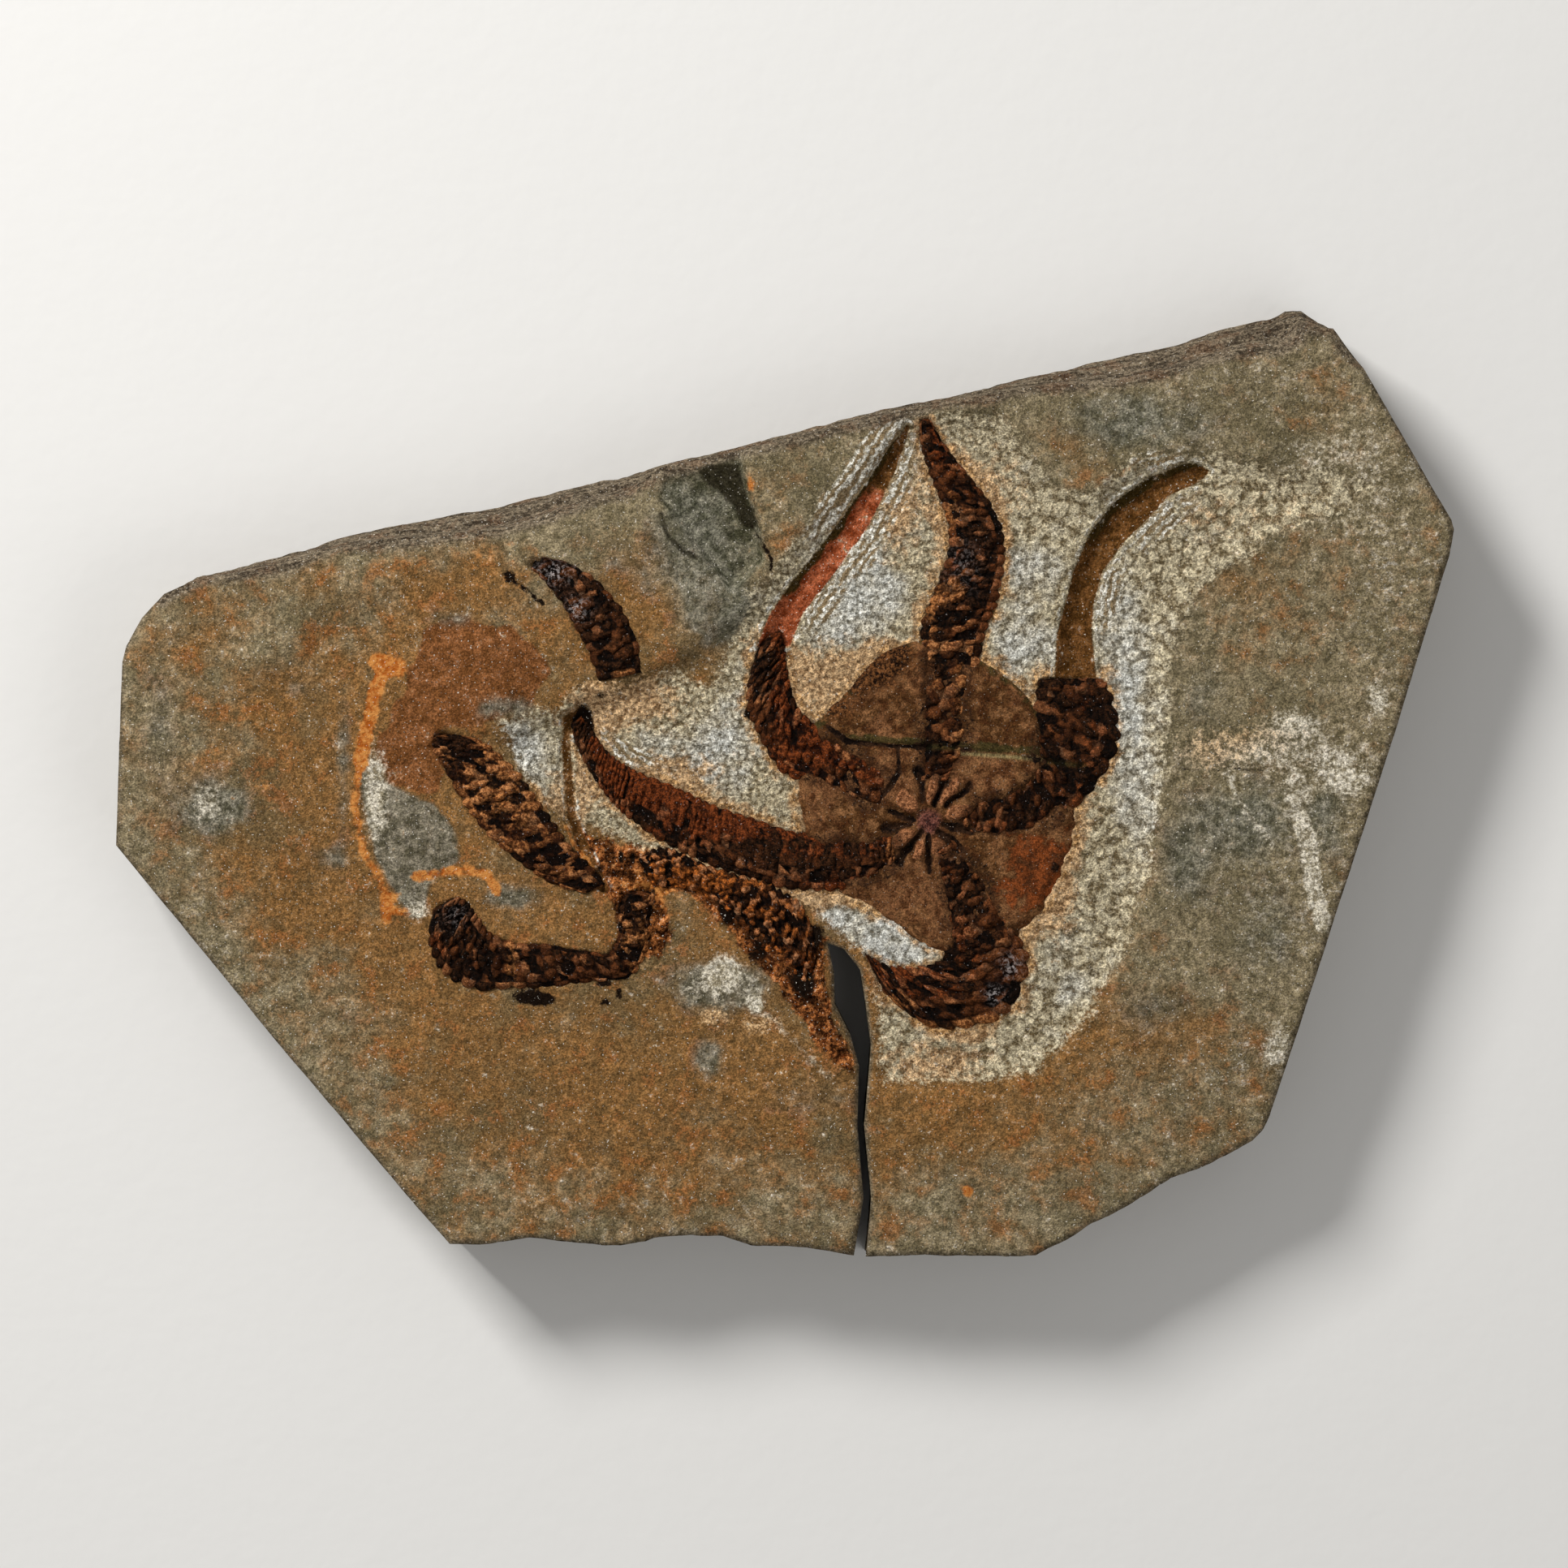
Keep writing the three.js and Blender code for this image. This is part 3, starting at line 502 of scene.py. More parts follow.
def bed_height(x, y):
    """The bedding plane of the CAD model."""
    waves = np.sin(x / 19 + 0.6) + 0.8 * np.cos(y / 15 - 0.4) + 0.5 * np.sin((x + 2 * y) / 13)
    towards_scarp = 0.3 + 0.7 * smoothstep(x, -15, -3)
    return (
        BED_HEIGHT
        + SWELL * waves
        - HOLLOW_DEPTH * region(HOLLOW, x, y, 0, -0.4, HOLLOW_SHOULDER)
        - CHIP_DEPTH * region(CHIP, x, y, 0, 0, 1) * towards_scarp
        + PATCH_RISE * region(PATCH, x, y, 0, 0, PATCH_RIM)
    )


FOSSILS = {**ARMS, **STRAY_ARMS, "crushed_arm": CRUSHED_ARM}
FOSSIL_OUTLINES = {name: fossil_polygon(stations) for name, stations in FOSSILS.items()}
GROOVE_OUTLINES = [fossil_polygon(stations) for stations in GROOVES]
UNDER_FOSSIL = 0.7  # how far the ground is lowered under a fossil piece
SCRIBED_ARM = (-15, 3.8, 8, 2.2, 1)  # where scribe strokes run along the upper side of arm_west


def covered(x, y):
    """How far a place lies inside the nearest arm and inside the disc."""
    arms = [depth_inside(outline, x, y) for outline in FOSSIL_OUTLINES.values()]
    return np.max(arms, axis=0), depth_inside(disc_outline(), x, y)


def chunks(x, y, size, seed):
    """Broken lumps: 0 in the gaps to 1 on a lump, and each lump's own random number."""
    bent = [0.3 * size * noise(x, y, 0.6 * size, seed + k) for k in (7, 8)]
    away, own = scattered(x + bent[0], y + bent[1], size, seed)
    return 1 - smoothstep(away, 0.2, 0.66), own


def groove_share(x, y):
    """In a groove, 0 at the left margin to 1 at the right."""
    shares = []
    for stations in GROOVES:
        left = line_distance(stations, x, y)
        right = line_distance([s[2:] for s in stations], x, y)
        shares.append((left / (left + right + 1e-6), np.minimum(left, right)))
    return np.where(shares[0][1] < shares[1][1], shares[0][0], shares[1][0])


def rim_distance(x, y):
    """Distance to the slab's outer edge, leaving out the crack."""
    edges = [edge for edge, _ in EDGES if edge is not CRACK]
    return np.min([line_distance(edge, x, y) for edge in edges], axis=0)


def groove_ground(x, y):
    """The depth inside a groove, and how far each kind of ground in and beside it shows."""
    first, second = (depth_inside(outline, x, y) for outline in GROOVE_OUTLINES)
    groove = np.maximum(first, second - 1.6 * smoothstep(x, 46, 49))
    bank = smoothstep(-groove, -0.5, -0.1) * (1 - smoothstep(-groove, 1.8, 3.4))
    bank *= np.clip(spots(STROKE_SPOTS, x, y), 0, 1)
    by_arm = spots([SCRIBED_ARM], x, y)
    from_arm = -depth_inside(FOSSIL_OUTLINES["arm_west"], x, y)
    stripe = on_line(STRIPE, STRIPE_WIDTH, x, y, 0.4)
    slopes = on_line(STRIPE, STRIPE_SLOPES, x, y, 0.4) - stripe
    first_red = smoothstep(first, -0.3, 0.2) * (1 - smoothstep(y, 30, 35))
    second_red = 0.25 * smoothstep(y, 33.5, 34.5) * smoothstep(x, 44, 47)
    # Painted shade: the grooves' left walls are darkened to olive
    shaded_wall = 1 - smoothstep(groove_share(x, y) + 0.2 * rough(x, y, 2, 53), 0.1, 0.5)
    return groove, {
        "groove": np.maximum(smoothstep(groove, 0, 0.5), 0.85 * stripe),
        "groove_red": first_red + second_red,
        "olive": shaded_wall * smoothstep(y - 0.2 * x, 16, 24),
        "bank": np.maximum(bank, by_arm * (1 - smoothstep(from_arm, 1.5, 3))),
        "lip": np.maximum(0.9 * bell(groove + 0.1, 0.3), 0.8 * slopes),
        "stroke": np.where(by_arm > 0.35, from_arm, -groove),
    }


def survey(x, y):
    """How far each kind of ground shows on the bed, and the depth inside grooves, arms and disc."""
    wander = 1.2 * rough(x, y, 3.4, 11)
    groove, by_groove = groove_ground(x, y)
    in_arm, in_disc = covered(x, y)
    outside = -np.maximum(in_arm, in_disc)
    inland = smoothstep(rim_distance(x, y) + 3 * rough(x, y, 8, 59), 0, 18)
    to_lower_left = smoothstep(-0.6 * x - 0.8 * y + 14 * rough(x, y, 16, 5), -30, 22)
    lump, lump_own = chunks(x, y, 1.3, 37)
    ground = {name: spots(table, x, y) for name, table in SPOTS.items()}
    by_fossil = 1 - smoothstep(outside + 1.6 * rough(x, y, 3, 45), 0.2, 2.2)
    ground["tan"] += 0.75 * by_fossil * (1 - smoothstep(ground["white"], 0.4, 1.2))
    ground["white"] += 0.3 * rough(x, y, 5, 41)
    ground["pale"] *= 1 + 0.5 * rough(x, y, 2.5, 47)
    ground["frost"] *= 0.7 + 0.6 * rough(x, y, 5, 69)
    ground["frost"] += 0.15 * (1 - inland)
    ground["grey"] += region(GREY_LEFT, x, y, 0.4 * wander, -0.3, 0.6)
    ground["warm"] += to_lower_left * (0.3 + 0.7 * inland) + 0.5 * rough(x, y, 7, 63)
    # Painted shadow: the ground turns black along the arms' edges
    ground["black"] += 0.45 * smoothstep(in_arm + 0.5 * rough(x, y, 1.2, 7), -0.5, 0.2)
    # Painted shadow in the wedge by the chip's scarp
    ground["shade"] += region(CHIP_SHADOW_WEDGE, x, y, 0.6 * wander, -0.9, 1)
    for name, table in LINES.items():
        ground[name] += drawn(table, x, y)
    ground["coarse"] = smoothstep(x - 0.6 * y, -4, 6)
    ground["chip"] = region(CHIP, x, y, 0.5 * wander, -0.1, 0.5)
    ground["red"] = region(OVAL, x, y, wander, -0.8, 1)
    ground["rust"] = region(RUST, x, y, wander, -0.7, 1.2)
    ground["lump"] = lump * (0.3 + 0.7 * lump_own)
    ground["scribed"] = region(SCRIBED, x, y, wander, -0.8, 1.6) * (1 - by_groove["groove"])
    ground["rim"] = 0.7 * bell(outside - 0.3, 0.45) * ground["scribed"]
    ground = {name: np.clip(value, 0, 1) for name, value in ground.items()}
    return {**ground, **by_groove}, groove, in_arm, in_disc


def terraces(x, y):
    """Thin steps of bedding along the contours of a slow noise."""
    slow = 2.4 * rough(x, y, 24, 23, 5)
    step = np.floor(slow)
    return step + smoothstep(slow - step, 0, 0.07)


def ground_height(x, y, found):
    """The bed with its pits, steps, grooves and seats."""
    ground, groove, in_arm, in_disc = found
    scribed = ground["scribed"]
    pit, own = scattered(x, y, 1.05, 3)
    pitted = 0.08 - 0.13 * smoothstep(pit, 0.1, 0.75) * (0.5 + own) + 0.05 * rough(x, y, 0.8, 13, 2)
    open_bed = 0.06 * rough(x, y, 1.3, 17, 3) + 0.3 * rough(x, y, 8, 19, 4) + 0.24 * terraces(x, y)
    open_bed += 0.4 * sum(bell(line_distance(line, x, y), 2.2) for line in FOLDS)
    rubble = ground["lump"] - 0.35 + 0.2 * rough(x, y, 0.9, 39, 2)
    carved = GROOVE_DEPTH * smoothstep(groove, -0.3, 2)
    carved += 0.35 * on_line(STRIPE, STRIPE_WIDTH, x, y, 0.7) + 0.4 * drawn(LINES["black"], x, y)
    sunk = UNDER_FOSSIL * np.maximum(smoothstep(in_arm, 0, 0.6), smoothstep(in_disc, 0.2, 1))
    holes = 0.7 * np.clip(spots(HOLES, x, y), 0, 1)
    raised = scribed * pitted + (1 - scribed) * open_bed
    raised += 0.6 * ground["rust"] * rubble + 0.14 * ground["chip"] * rough(x, y, 2.2, 43)
    return bed_height(x, y) + raised - carved - sunk - holes


# ---------------------------------------------------------------- mesh making

ROW_SPACING = 0.866  # between rows of evenly scattered points, in spacings along a row
JITTER = 0.22  # how far a scattered point strays from its grid, in spacings


def scatter(box, spacing, seed):
    """A jittered triangular grid of plan points."""
    (x0, y0), (x1, y1) = box
    rows = int((y1 - y0) / (spacing * ROW_SPACING)) + 1
    columns = int((x1 - x0) / spacing) + 1
    row, column = np.mgrid[0:rows, 0:columns]
    jitter = np.random.default_rng(seed).uniform(-JITTER, JITTER, (2, rows, columns)) * spacing
    x = x0 + (column + 0.5 * (row % 2)) * spacing + jitter[0]
    y = y0 + row * spacing * ROW_SPACING + jitter[1]
    return x.ravel(), y.ravel()


def triangulate(loop, inner):
    """Triangles over a plan loop and the points inside it, as indices into loop then inner."""
    points = [Vector(p) for p in np.vstack([loop, inner]).tolist()]
    edges = [(k, (k + 1) % len(loop)) for k in range(len(loop))]
    faces, origins = delaunay_2d_cdt(points, edges, [], 1, 1e-6)[2:4]
    return np.array([origin[0] for origin in origins])[np.array(faces)]


def quads(a, b, c, d):
    """Two triangles for each four corners."""
    return np.vstack([np.stack([a, b, c], axis=1), np.stack([a, c, d], axis=1)])


def closed_plate(top_loop, top_inner, rings, foot_inner):
    """Points and faces of a plate: its top, its side rings down to the foot, and its underside.

    top_loop and top_inner hold the top's x, y, z; the last ring is the edge of the underside.
    """
    count = len(top_loop)
    points = np.vstack([top_loop, top_inner, *rings, foot_inner])
    starts = [0] + [count + len(top_inner) + k * count for k in range(len(rings))]
    faces = [triangulate(top_loop[:, :2], top_inner[:, :2])]
    here = np.arange(count)
    after = (here + 1) % count
    for upper, lower in zip(starts, starts[1:]):
        faces.append(quads(upper + here, lower + here, lower + after, upper + after))
    foot = triangulate(rings[-1][:, :2], foot_inner[:, :2])[:, ::-1]
    return points, np.vstack([*faces, starts[-1] + foot])


def make_piece(name, points, faces, masks, material, node):
    """A smooth mesh in metres that stands for a CAD node; masks are 0 past their last value."""
    mesh = bpy.data.meshes.new(name)
    mesh.from_pydata((points * MM).tolist(), [], faces.tolist())
    for label, values in masks.items():
        every = np.zeros(len(points), np.float32)
        every[: len(values)] = values
        mesh.attributes.new(label, "FLOAT", "POINT").data.foreach_set("value", every)
    mesh.shade_smooth()
    mesh.materials.append(material)
    piece = bpy.data.objects.new(name, mesh)
    bpy.context.collection.objects.link(piece)
    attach(piece, "root")
    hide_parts(node)


# ---------------------------------------------------------------- the slab

SLAB_BOX = [(-SLAB_LENGTH / 2, -SLAB_WIDTH / 2), (SLAB_LENGTH / 2, SLAB_WIDTH / 2)]
SIDE_STEP = 0.5  # spacing of points along the slab's edge
SIDE_RINGS = 17
BED_STEPS = {"fine": 0.3, "open": 0.56, "hidden": 1.1}  # by the star, away from it and under it
NEAR_STAR = 1.6  # the fine points reach this far round the hollow and the arms
HIDDEN_DEPTH = 0.9  # nothing shows this far inside an arm's or the disc's outline
FOOT_STEP = 2.4
FOOT_SWELL = 0.08
EDGE_CLEAR = 0.4  # no inner point nearer than this to the edge


def edge_samples():
    """Points along the outline: x, y, the set-back's vector, the inward vector and the roughness."""
    corners = [(*corner, roughness) for edge, roughness in EDGES for corner in edge]
    corners = np.array(corners[::-1])  # counter-clockwise
    before, after = np.roll(corners, 1, axis=0), np.roll(corners, -1, axis=0)
    along = after[:, :2] - before[:, :2]
    inward = np.stack([-along[:, 1], along[:, 0]], axis=1)
    inward /= np.hypot(*inward.T)[:, None]
    rows = np.column_stack([corners[:, :2], inward * corners[:, 2:3], inward, corners[:, 3]])
    samples = []
    for here, there in zip(rows, np.roll(rows, -1, axis=0)):
        steps = max(1, round(np.hypot(*(there - here)[:2]) / SIDE_STEP))
        share = (np.arange(steps) / steps)[:, None]
        samples.append((1 - share) * here + share * there)
    return np.vstack(samples)


def edge_ring(samples, height):
    """The slab's edge in plan at a height, set back, stepped and broken as its side is."""
    levels, shares = np.array(SIDE_LEVELS, float).T
    share = np.interp(height, levels, shares)
    place, set_back, inward, roughness = np.split(samples, (2, 4, 6), axis=1)
    forward = (set_back * inward).sum(axis=1) >= 0
    scale = np.where(forward, share, -np.maximum(0, 1 - share))
    along = np.cumsum(np.hypot(*np.diff(place, axis=0, append=place[:1]).T))
    layers = rough(along / 5, height + 0.05 * along, 1.7, 61, 3)
    breaks = rough(along, 2.5 * height, 4.5, 67, 4)
    dents = roughness * (0.1 + 0.25 * layers + 0.5 * np.abs(breaks))[:, None]
    return place + set_back * scale[:, None] + inward * dents


def bed_points(edge):
    """Plan points inside the slab's edge, and their distances to it."""
    chosen = []
    for wanted, spacing in BED_STEPS.items():
        x, y = scatter(SLAB_BOX, spacing, 7)
        in_arm, in_disc = covered(x, y)
        near_star = np.maximum(depth_inside(HOLLOW, x, y), in_arm) > -NEAR_STAR
        kind = np.where(near_star, "fine", "open")
        kind = np.where(np.maximum(in_arm, in_disc) > HIDDEN_DEPTH, "hidden", kind)
        keep = (kind == wanted) & (depth_inside(edge[::4].tolist(), x, y) > EDGE_CLEAR)
        chosen.append(np.stack([x[keep], y[keep]], axis=1))
    plan = np.vstack(chosen)
    distance = depth_inside(edge[::2].tolist(), *plan.T)
    keep = distance > EDGE_CLEAR * 0.6
    return plan[keep], distance[keep]


def edge_wear(x, y, inward):
    """How far the top is worn down by its edge, and where and how far the broken face runs in."""
    broken = 1 - smoothstep(line_distance(BROKEN_UPPER_EDGE, x, y), 5, 6)
    width = (1.1 + 0.9 * rough(x, y, 5, 75)) * broken
    rounded = 0.3 * (1 - smoothstep(inward, 0, 0.9)) * (1 + 0.5 * rough(x, y, 2.5, 71))
    dropped = 0.8 * broken * (1 - smoothstep(inward, 0, np.maximum(width, 0.1)))
    return rounded + dropped, broken, width


def slab_foot(edge):
    """Points of the underside, which is nearly flat."""
    x, y = scatter(SLAB_BOX, FOOT_STEP, 9)
    keep = depth_inside(edge[::3].tolist(), x, y) > FOOT_STEP / 2
    x, y = x[keep], y[keep]
    return np.column_stack([x, y, FOOT_SWELL * (1 + rough(x, y, 8, 73))])


def slab_piece(material):
    samples = edge_samples()
    edge = edge_ring(samples, np.full(len(samples), BED_HEIGHT))
    inner, distance = bed_points(edge)
    plan = np.vstack([edge, inner])
    found = survey(*plan.T)
    inward = np.concatenate([np.zeros(len(edge)), distance])
    wear, broken, face_width = edge_wear(*plan.T, inward)
    top = np.column_stack([plan, ground_height(*plan.T, found) - wear])
    top_loop = top[: len(edge)]
    rings = []
    for k in range(1, SIDE_RINGS + 1):
        level = top_loop[:, 2] * (1 - k / SIDE_RINGS)
        rings.append(np.column_stack([edge_ring(samples, level), level]))
    foot = slab_foot(rings[-1][:, :2])
    points, faces = closed_plate(top_loop, top[len(edge):], rings, foot)

    side = 1 - smoothstep(inward, 0.5 * face_width, 0.4 + 1.1 * np.maximum(face_width, 0))
    sawn = np.tile(1 - smoothstep(samples[:, 6], 0.2, 0.5), SIDE_RINGS)
    masks = {
        **found[0],
        "side": np.append(side, np.ones(len(points) - len(plan))),
        "sawn": np.append(1 - broken, sawn),
    }
    make_piece("slab_stone", points, faces, masks, material, "slab")


# ---------------------------------------------------------------- arms

ROW_STEP = 0.14
ARM_COLUMNS = 52
MARGIN_SUNK = 0.3  # an arm's margin starts this far under the ground
UNDERSIDE = (0.9, 0, -0.9)  # where the underside has points, in half widths
MARGIN_BEADS = 0.7  # beads run along an arm's margins from this share of its half width
PLATE_WIDTH = 1.5  # plates are this much wider across the arm than along it

# Plate size, relief, how ribbed across, then how orange, how red on the right and how black
ARM_STYLES = {
    "arm_north": (0.9, 0.5, 0, 0.05, 0.25, 0.5),
    "arm_west": (0.75, 0.5, 0.75, 0, 0.6, 0.45),
    "arm_northwest": (0.9, 0.5, 0, 0.1, 0.7, 0.35),
    "arm_east": (0.9, 0.5, 0, 0, 0.3, 0.65),
    "arm_southeast": (0.95, 0.5, 0, 0.05, 0.4, 0.65),
    "stray_arm_upper": (0.95, 0.55, 0, 0, 0.05, 0.9),
    "stray_arm_middle": (0.9, 0.5, 0.2, 0.4, 0.1, 0.35),
    "stray_arm_lower": (0.8, 0.55, 0, 0.1, 0.1, 0.75),
    "crushed_arm": (0.65, 0.6, 0, 0.4, 0.4, 0.4),
}
# Where the arms are orange, red, black or glinting: soft spots as above
ARM_SPOTS = {
    "orange": [
        (20.2, 8, 1.2, 10, 0.8), (16.6, 14, 1.5, 5, 0.5), (16.5, 20, 1.4, 3.5, 0.7),
        (19, 21.5, 1.6, 1.2, 0.8), (18.6, 30.5, 1, 2.5, 0.5), (34.4, -3.6, 1.4, 1.4, 1),
        (-30.7, -19.6, 0.6, 3, 1), (16.6, -28, 5.5, 0.9, 1), (11.5, -24.8, 2.5, 1, 0.9),
        (22.6, -27.3, 3, 0.9, 0.9), (26.4, -23.9, 0.9, 2.5, 0.7), (-10, -11.2, 3.4, 2.2, 1.2),
        (-16.6, -17.5, 1.8, 3.2, 1), (-32, 0, 3.2, 3.2, 0.8), (-19, 12.4, 2.6, 1.2, 0.6),
        (-13.4, -10.5, 2.5, 2, 0.5), (12.2, -7.4, 1.4, 1.2, 0.7), (-2, -19.4, 1.6, 1.6, 0.5),
    ],
    "red": [
        (1, 3, 5, 5, 0.7), (-15, -2, 5, 3.6, 0.9), (-19, 0, 3, 4, 0.9), (-9, -5, 5, 2, 0.6),
        (8, -11.4, 7, 1, 0.9), (34.1, 8.6, 0.8, 0.8, 0.9), (0, 12, 1.2, 3.5, 0.9),
        (13, -22.5, 5, 2, 0.5), (2.2, -24, 2, 4.5, 0.8), (-39, -18.5, 1, 1.6, 0.9),
        (-6, -13.8, 3, 1, 0.5), (19, 24, 1.4, 8, 0.35), (17, 37, 1.4, 3, 0.5),
    ],
    # Mostly black plates; at arm_west's tip, painted shade in the hole it runs into
    "black": [
        (-2.3, 12.2, 1.3, 3.5, 1), (-22.8, 6.6, 1.3, 1.8, 1.2), (-37.6, 4.2, 2.4, 2, 1),
        (21.8, 27, 2.4, 7, 0.7), (17.6, 16, 1, 7, 0.5), (-37.5, -14.5, 2.6, 2.6, 0.7),
        (29.5, 10.8, 2, 1.6, 0.9), (-15.4, -9, 0.45, 1.6, 1), (-13, -10.2, 0.45, 1.5, 1),
        (-2.5, -17, 1.6, 1.4, 1), (2, -15.8, 1.6, 0.8, 1), (-5.4, -14.4, 1, 1.4, 1),
        (-9, -7.8, 5, 1.3, 0.9), (2, -9.2, 6, 1.2, 0.7), (-16, -4.4, 5, 1.1, 0.6),
        (36, 3, 1.6, 8, 0.6), (19, -14, 2, 3, 0.5), (4, -7.4, 8, 1.6, 0.7),
        (-10, -11.2, 3, 1.8, -0.6), (1.2, -19.6, 0.9, 1.4, 0.9),
    ],
    "glint": [
        (-26, 23.4, 1.8, 1.1, 1), (-23.3, 19.3, 1.1, 1.1, 1), (25.4, -20.6, 1.1, 1.2, 0.9),
        (23.4, -23.9, 0.9, 0.8, 0.9), (-37, -15, 1, 1, 0.5), (20, 24, 1.6, 2.2, 0.3),
    ],
}


def margin_beads(along, side, pitch, seed):
    """Along a margin, how far up its bead a place is, and the bead's number."""
    place = along / (1.55 * pitch) + 0.22 * noise(along, 9 * side, 1.9 * pitch, seed) + 0.3 * side
    bead = np.floor(place)
    return 1 - np.abs(2 * (place - bead) - 1) ** 2.2, bead


def plate_pattern(along, across, half, pitch, ribbed, seed):
    """How far up its plate a place is, and the plate's own random number."""
    plate, own = chunks(along, across * half / PLATE_WIDTH, pitch, seed)
    place = along / pitch + 0.35 * noise(along, across * half, 1.4, seed + 9)
    rib = np.floor(place)
    whole = hashed(rib, np.round(across * 2), seed) > 0.1
    on_rib = ribbed * smoothstep(across, -0.5, -0.1) * whole
    plate = plate * (1 - on_rib) + on_rib * (1 - np.abs(2 * (place - rib) - 1) ** 1.7)
    own = np.where(on_rib > 0.5, 0.4 + 0.3 * hashed(rib, 0 * rib, seed + 1), own)
    side = np.sign(across)
    bead, number = margin_beads(along, side, pitch, seed)
    outward = (np.abs(across) - MARGIN_BEADS) / (1 - MARGIN_BEADS)
    bead = bead * (1 - np.abs(2 * np.clip(outward, 0, 1) - 1) ** 2.2)
    on_margin = smoothstep(outward, -0.1, 0.15) * (1 - 0.8 * on_rib)
    own = np.where(on_margin > 0.5, hashed(number, side, seed), own)
    return plate + on_margin * (bead - plate), own


def frayed(along, across, pitch, seed):
    """How much wider than its ribbon an arm is: its margins are beaded and waver."""
    side = np.sign(across)
    fray = 0.14 * margin_beads(along, side, pitch, seed)[0] - 0.08
    fray = fray + 0.08 * noise(along, 9 * side, 2.5, seed)
    return 1 + fray * smoothstep(np.abs(across), 0.5, 1)


def end_taper(along, offset, length, seed):
    """0 at an arm's two ends and 1 between; the far end is worn back unevenly."""
    worn = 0.8 * (1 + noise(offset, 0 * along + 3, 1.4, seed))
    return smoothstep(along, 0, 0.8) * smoothstep(length - along - worn, 0, 0.8)


def rounded_section(across):
    """The height of an arm's rounded cross-section: 1 in the middle, 0 at the margins."""
    return np.sqrt(1 - np.abs(across) ** 3.2)


def arm_top(name, x, y, along, across, half, seed):
    """The plates' height over the sunken margin, and how far each of their colours shows."""
    pitch, relief, ribbed, orange, red, black = ARM_STYLES[name]
    if name == "crushed_arm":
        plates, own = chunks(x, y, pitch, seed)
    else:
        plates, own = plate_pattern(along, across, half, pitch, ribbed, seed)
    plates = plates * smoothstep(own, 0.14, 0.24)  # a few plates are missing
    grains = 0.2 * rough(x, y, 0.55, seed + 5, 2) + 0.16 * rough(x, y, 2.5, seed + 6, 2)
    cracked = on_line(FRACTURE, CRACK_WIDTH, x, y)
    raised = ARM_RISE - relief + relief * plates * (0.6 + 0.55 * own) + grains
    crest = raised * rounded_section(across) - 0.35 * cracked + MARGIN_SUNK
    red = red * smoothstep(across, -0.3, 0.4)
    masks = {"orange": orange, "red": red, "black": black, "glint": 0}
    masks = {label: start + spots(ARM_SPOTS[label], x, y) for label, start in masks.items()}
    return crest, {**masks, "plates": plates, "own": own, "olive": cracked}


def arm_piece(name, stations, material):
    seed = sum(map(ord, name))
    ribbon = Ribbon(stations)
    share = np.linspace(0, 1, round(ribbon.length / ROW_STEP) + 1)
    middle, half, rightwards = ribbon.at(share)
    half = half[:, None]
    along = (share * ribbon.length)[:, None]
    across = np.linspace(-1, 1, ARM_COLUMNS)[None, :]
    offset = across * half * frayed(along, across, ARM_STYLES[name][0], seed)
    x = middle[:, :1] + rightwards[:, :1] * offset
    y = middle[:, 1:] + rightwards[:, 1:] * offset
    crest, masks = arm_top(name, x, y, along, across, half, seed)
    ends = end_taper(along, offset, ribbon.length, seed + 2)
    base = bed_height(*middle.T)
    z = base[:, None] - MARGIN_SUNK + crest * np.minimum(ends, rounded_section(across) ** 0.6)
    under = [np.column_stack([middle + rightwards * s * half, base - ARM_SEAT]) for s in UNDERSIDE]
    grid = np.concatenate([np.stack([x, y, z], axis=2), np.stack(under, axis=1)], axis=1)
    points, faces = closed_strip(grid)
    below = ((0, 0), (0, len(UNDERSIDE)))  # the underside's points come after each row
    masks = {label: np.pad(np.clip(mask, 0, 1), below).ravel() for label, mask in masks.items()}
    make_piece(f"{name}_plates", points, faces, masks, material, name)


def closed_strip(grid):
    """Points and faces of a strip whose cross-sections are a grid's rows, closed at both ends."""
    rows, per_row = grid.shape[0] - 1, grid.shape[1]
    points = np.vstack([grid.reshape(-1, 3), grid[0].mean(axis=0), grid[-1].mean(axis=0)])
    row, column = np.mgrid[0:rows, 0:per_row]
    a = (row * per_row + column).ravel()
    b = (row * per_row + (column + 1) % per_row).ravel()
    ring = np.arange(per_row)
    after = (ring + 1) % per_row
    hub, far = (np.full(per_row, len(points) - back) for back in (2, 1))
    last_row = rows * per_row
    faces = [
        quads(a, b, b + per_row, a + per_row),
        np.stack([after, ring, hub], axis=1),
        np.stack([last_row + ring, last_row + after, far], axis=1),
    ]
    return points, np.vstack(faces)


# ---------------------------------------------------------------- disc

DISC_STEP = 0.24
DISC_CORNERS, DISC_RINGS = 300, 5
DISC_FOOT_STEP, DISC_FOOT_CLEAR = 1.5, 0.8
SKIN_EDGE = 1.6  # over this width the skin rises from the ground
FRACTURE_BANK = (16, 3.5, 0.075)  # a straight line along the fracture: x, y and its fall
# Lumpy and red skin: soft spots as above
SKIN_LUMPS = [(8.6, 11.8, 3.4, 2.2, 1.1), (12.4, 14.4, 2.2, 2.4, 1.1), (5.5, 8.2, 2.4, 1.6, 0.8)]
SKIN_RED = [(29, -9, 4.5, 3.5, 1), (27, -13, 4, 2.5, 0.5), (-1, -1.5, 3, 3, 0.7)]


def disc_radius(bearing):
    """The disc's radius at bearings in radians."""
    step = np.degrees(bearing) % 360 / (360 / len(DISC_RADII))
    radii = np.array(DISC_RADII + DISC_RADII[:1])
    return np.interp(step, np.arange(len(radii)), radii)


def inside_disc(x, y):
    """Distance inwards from the disc's edge, along the radius."""
    x, y = x - DISC_CENTRE[0], y - DISC_CENTRE[1]
    return disc_radius(np.arctan2(y, x)) - np.hypot(x, y)


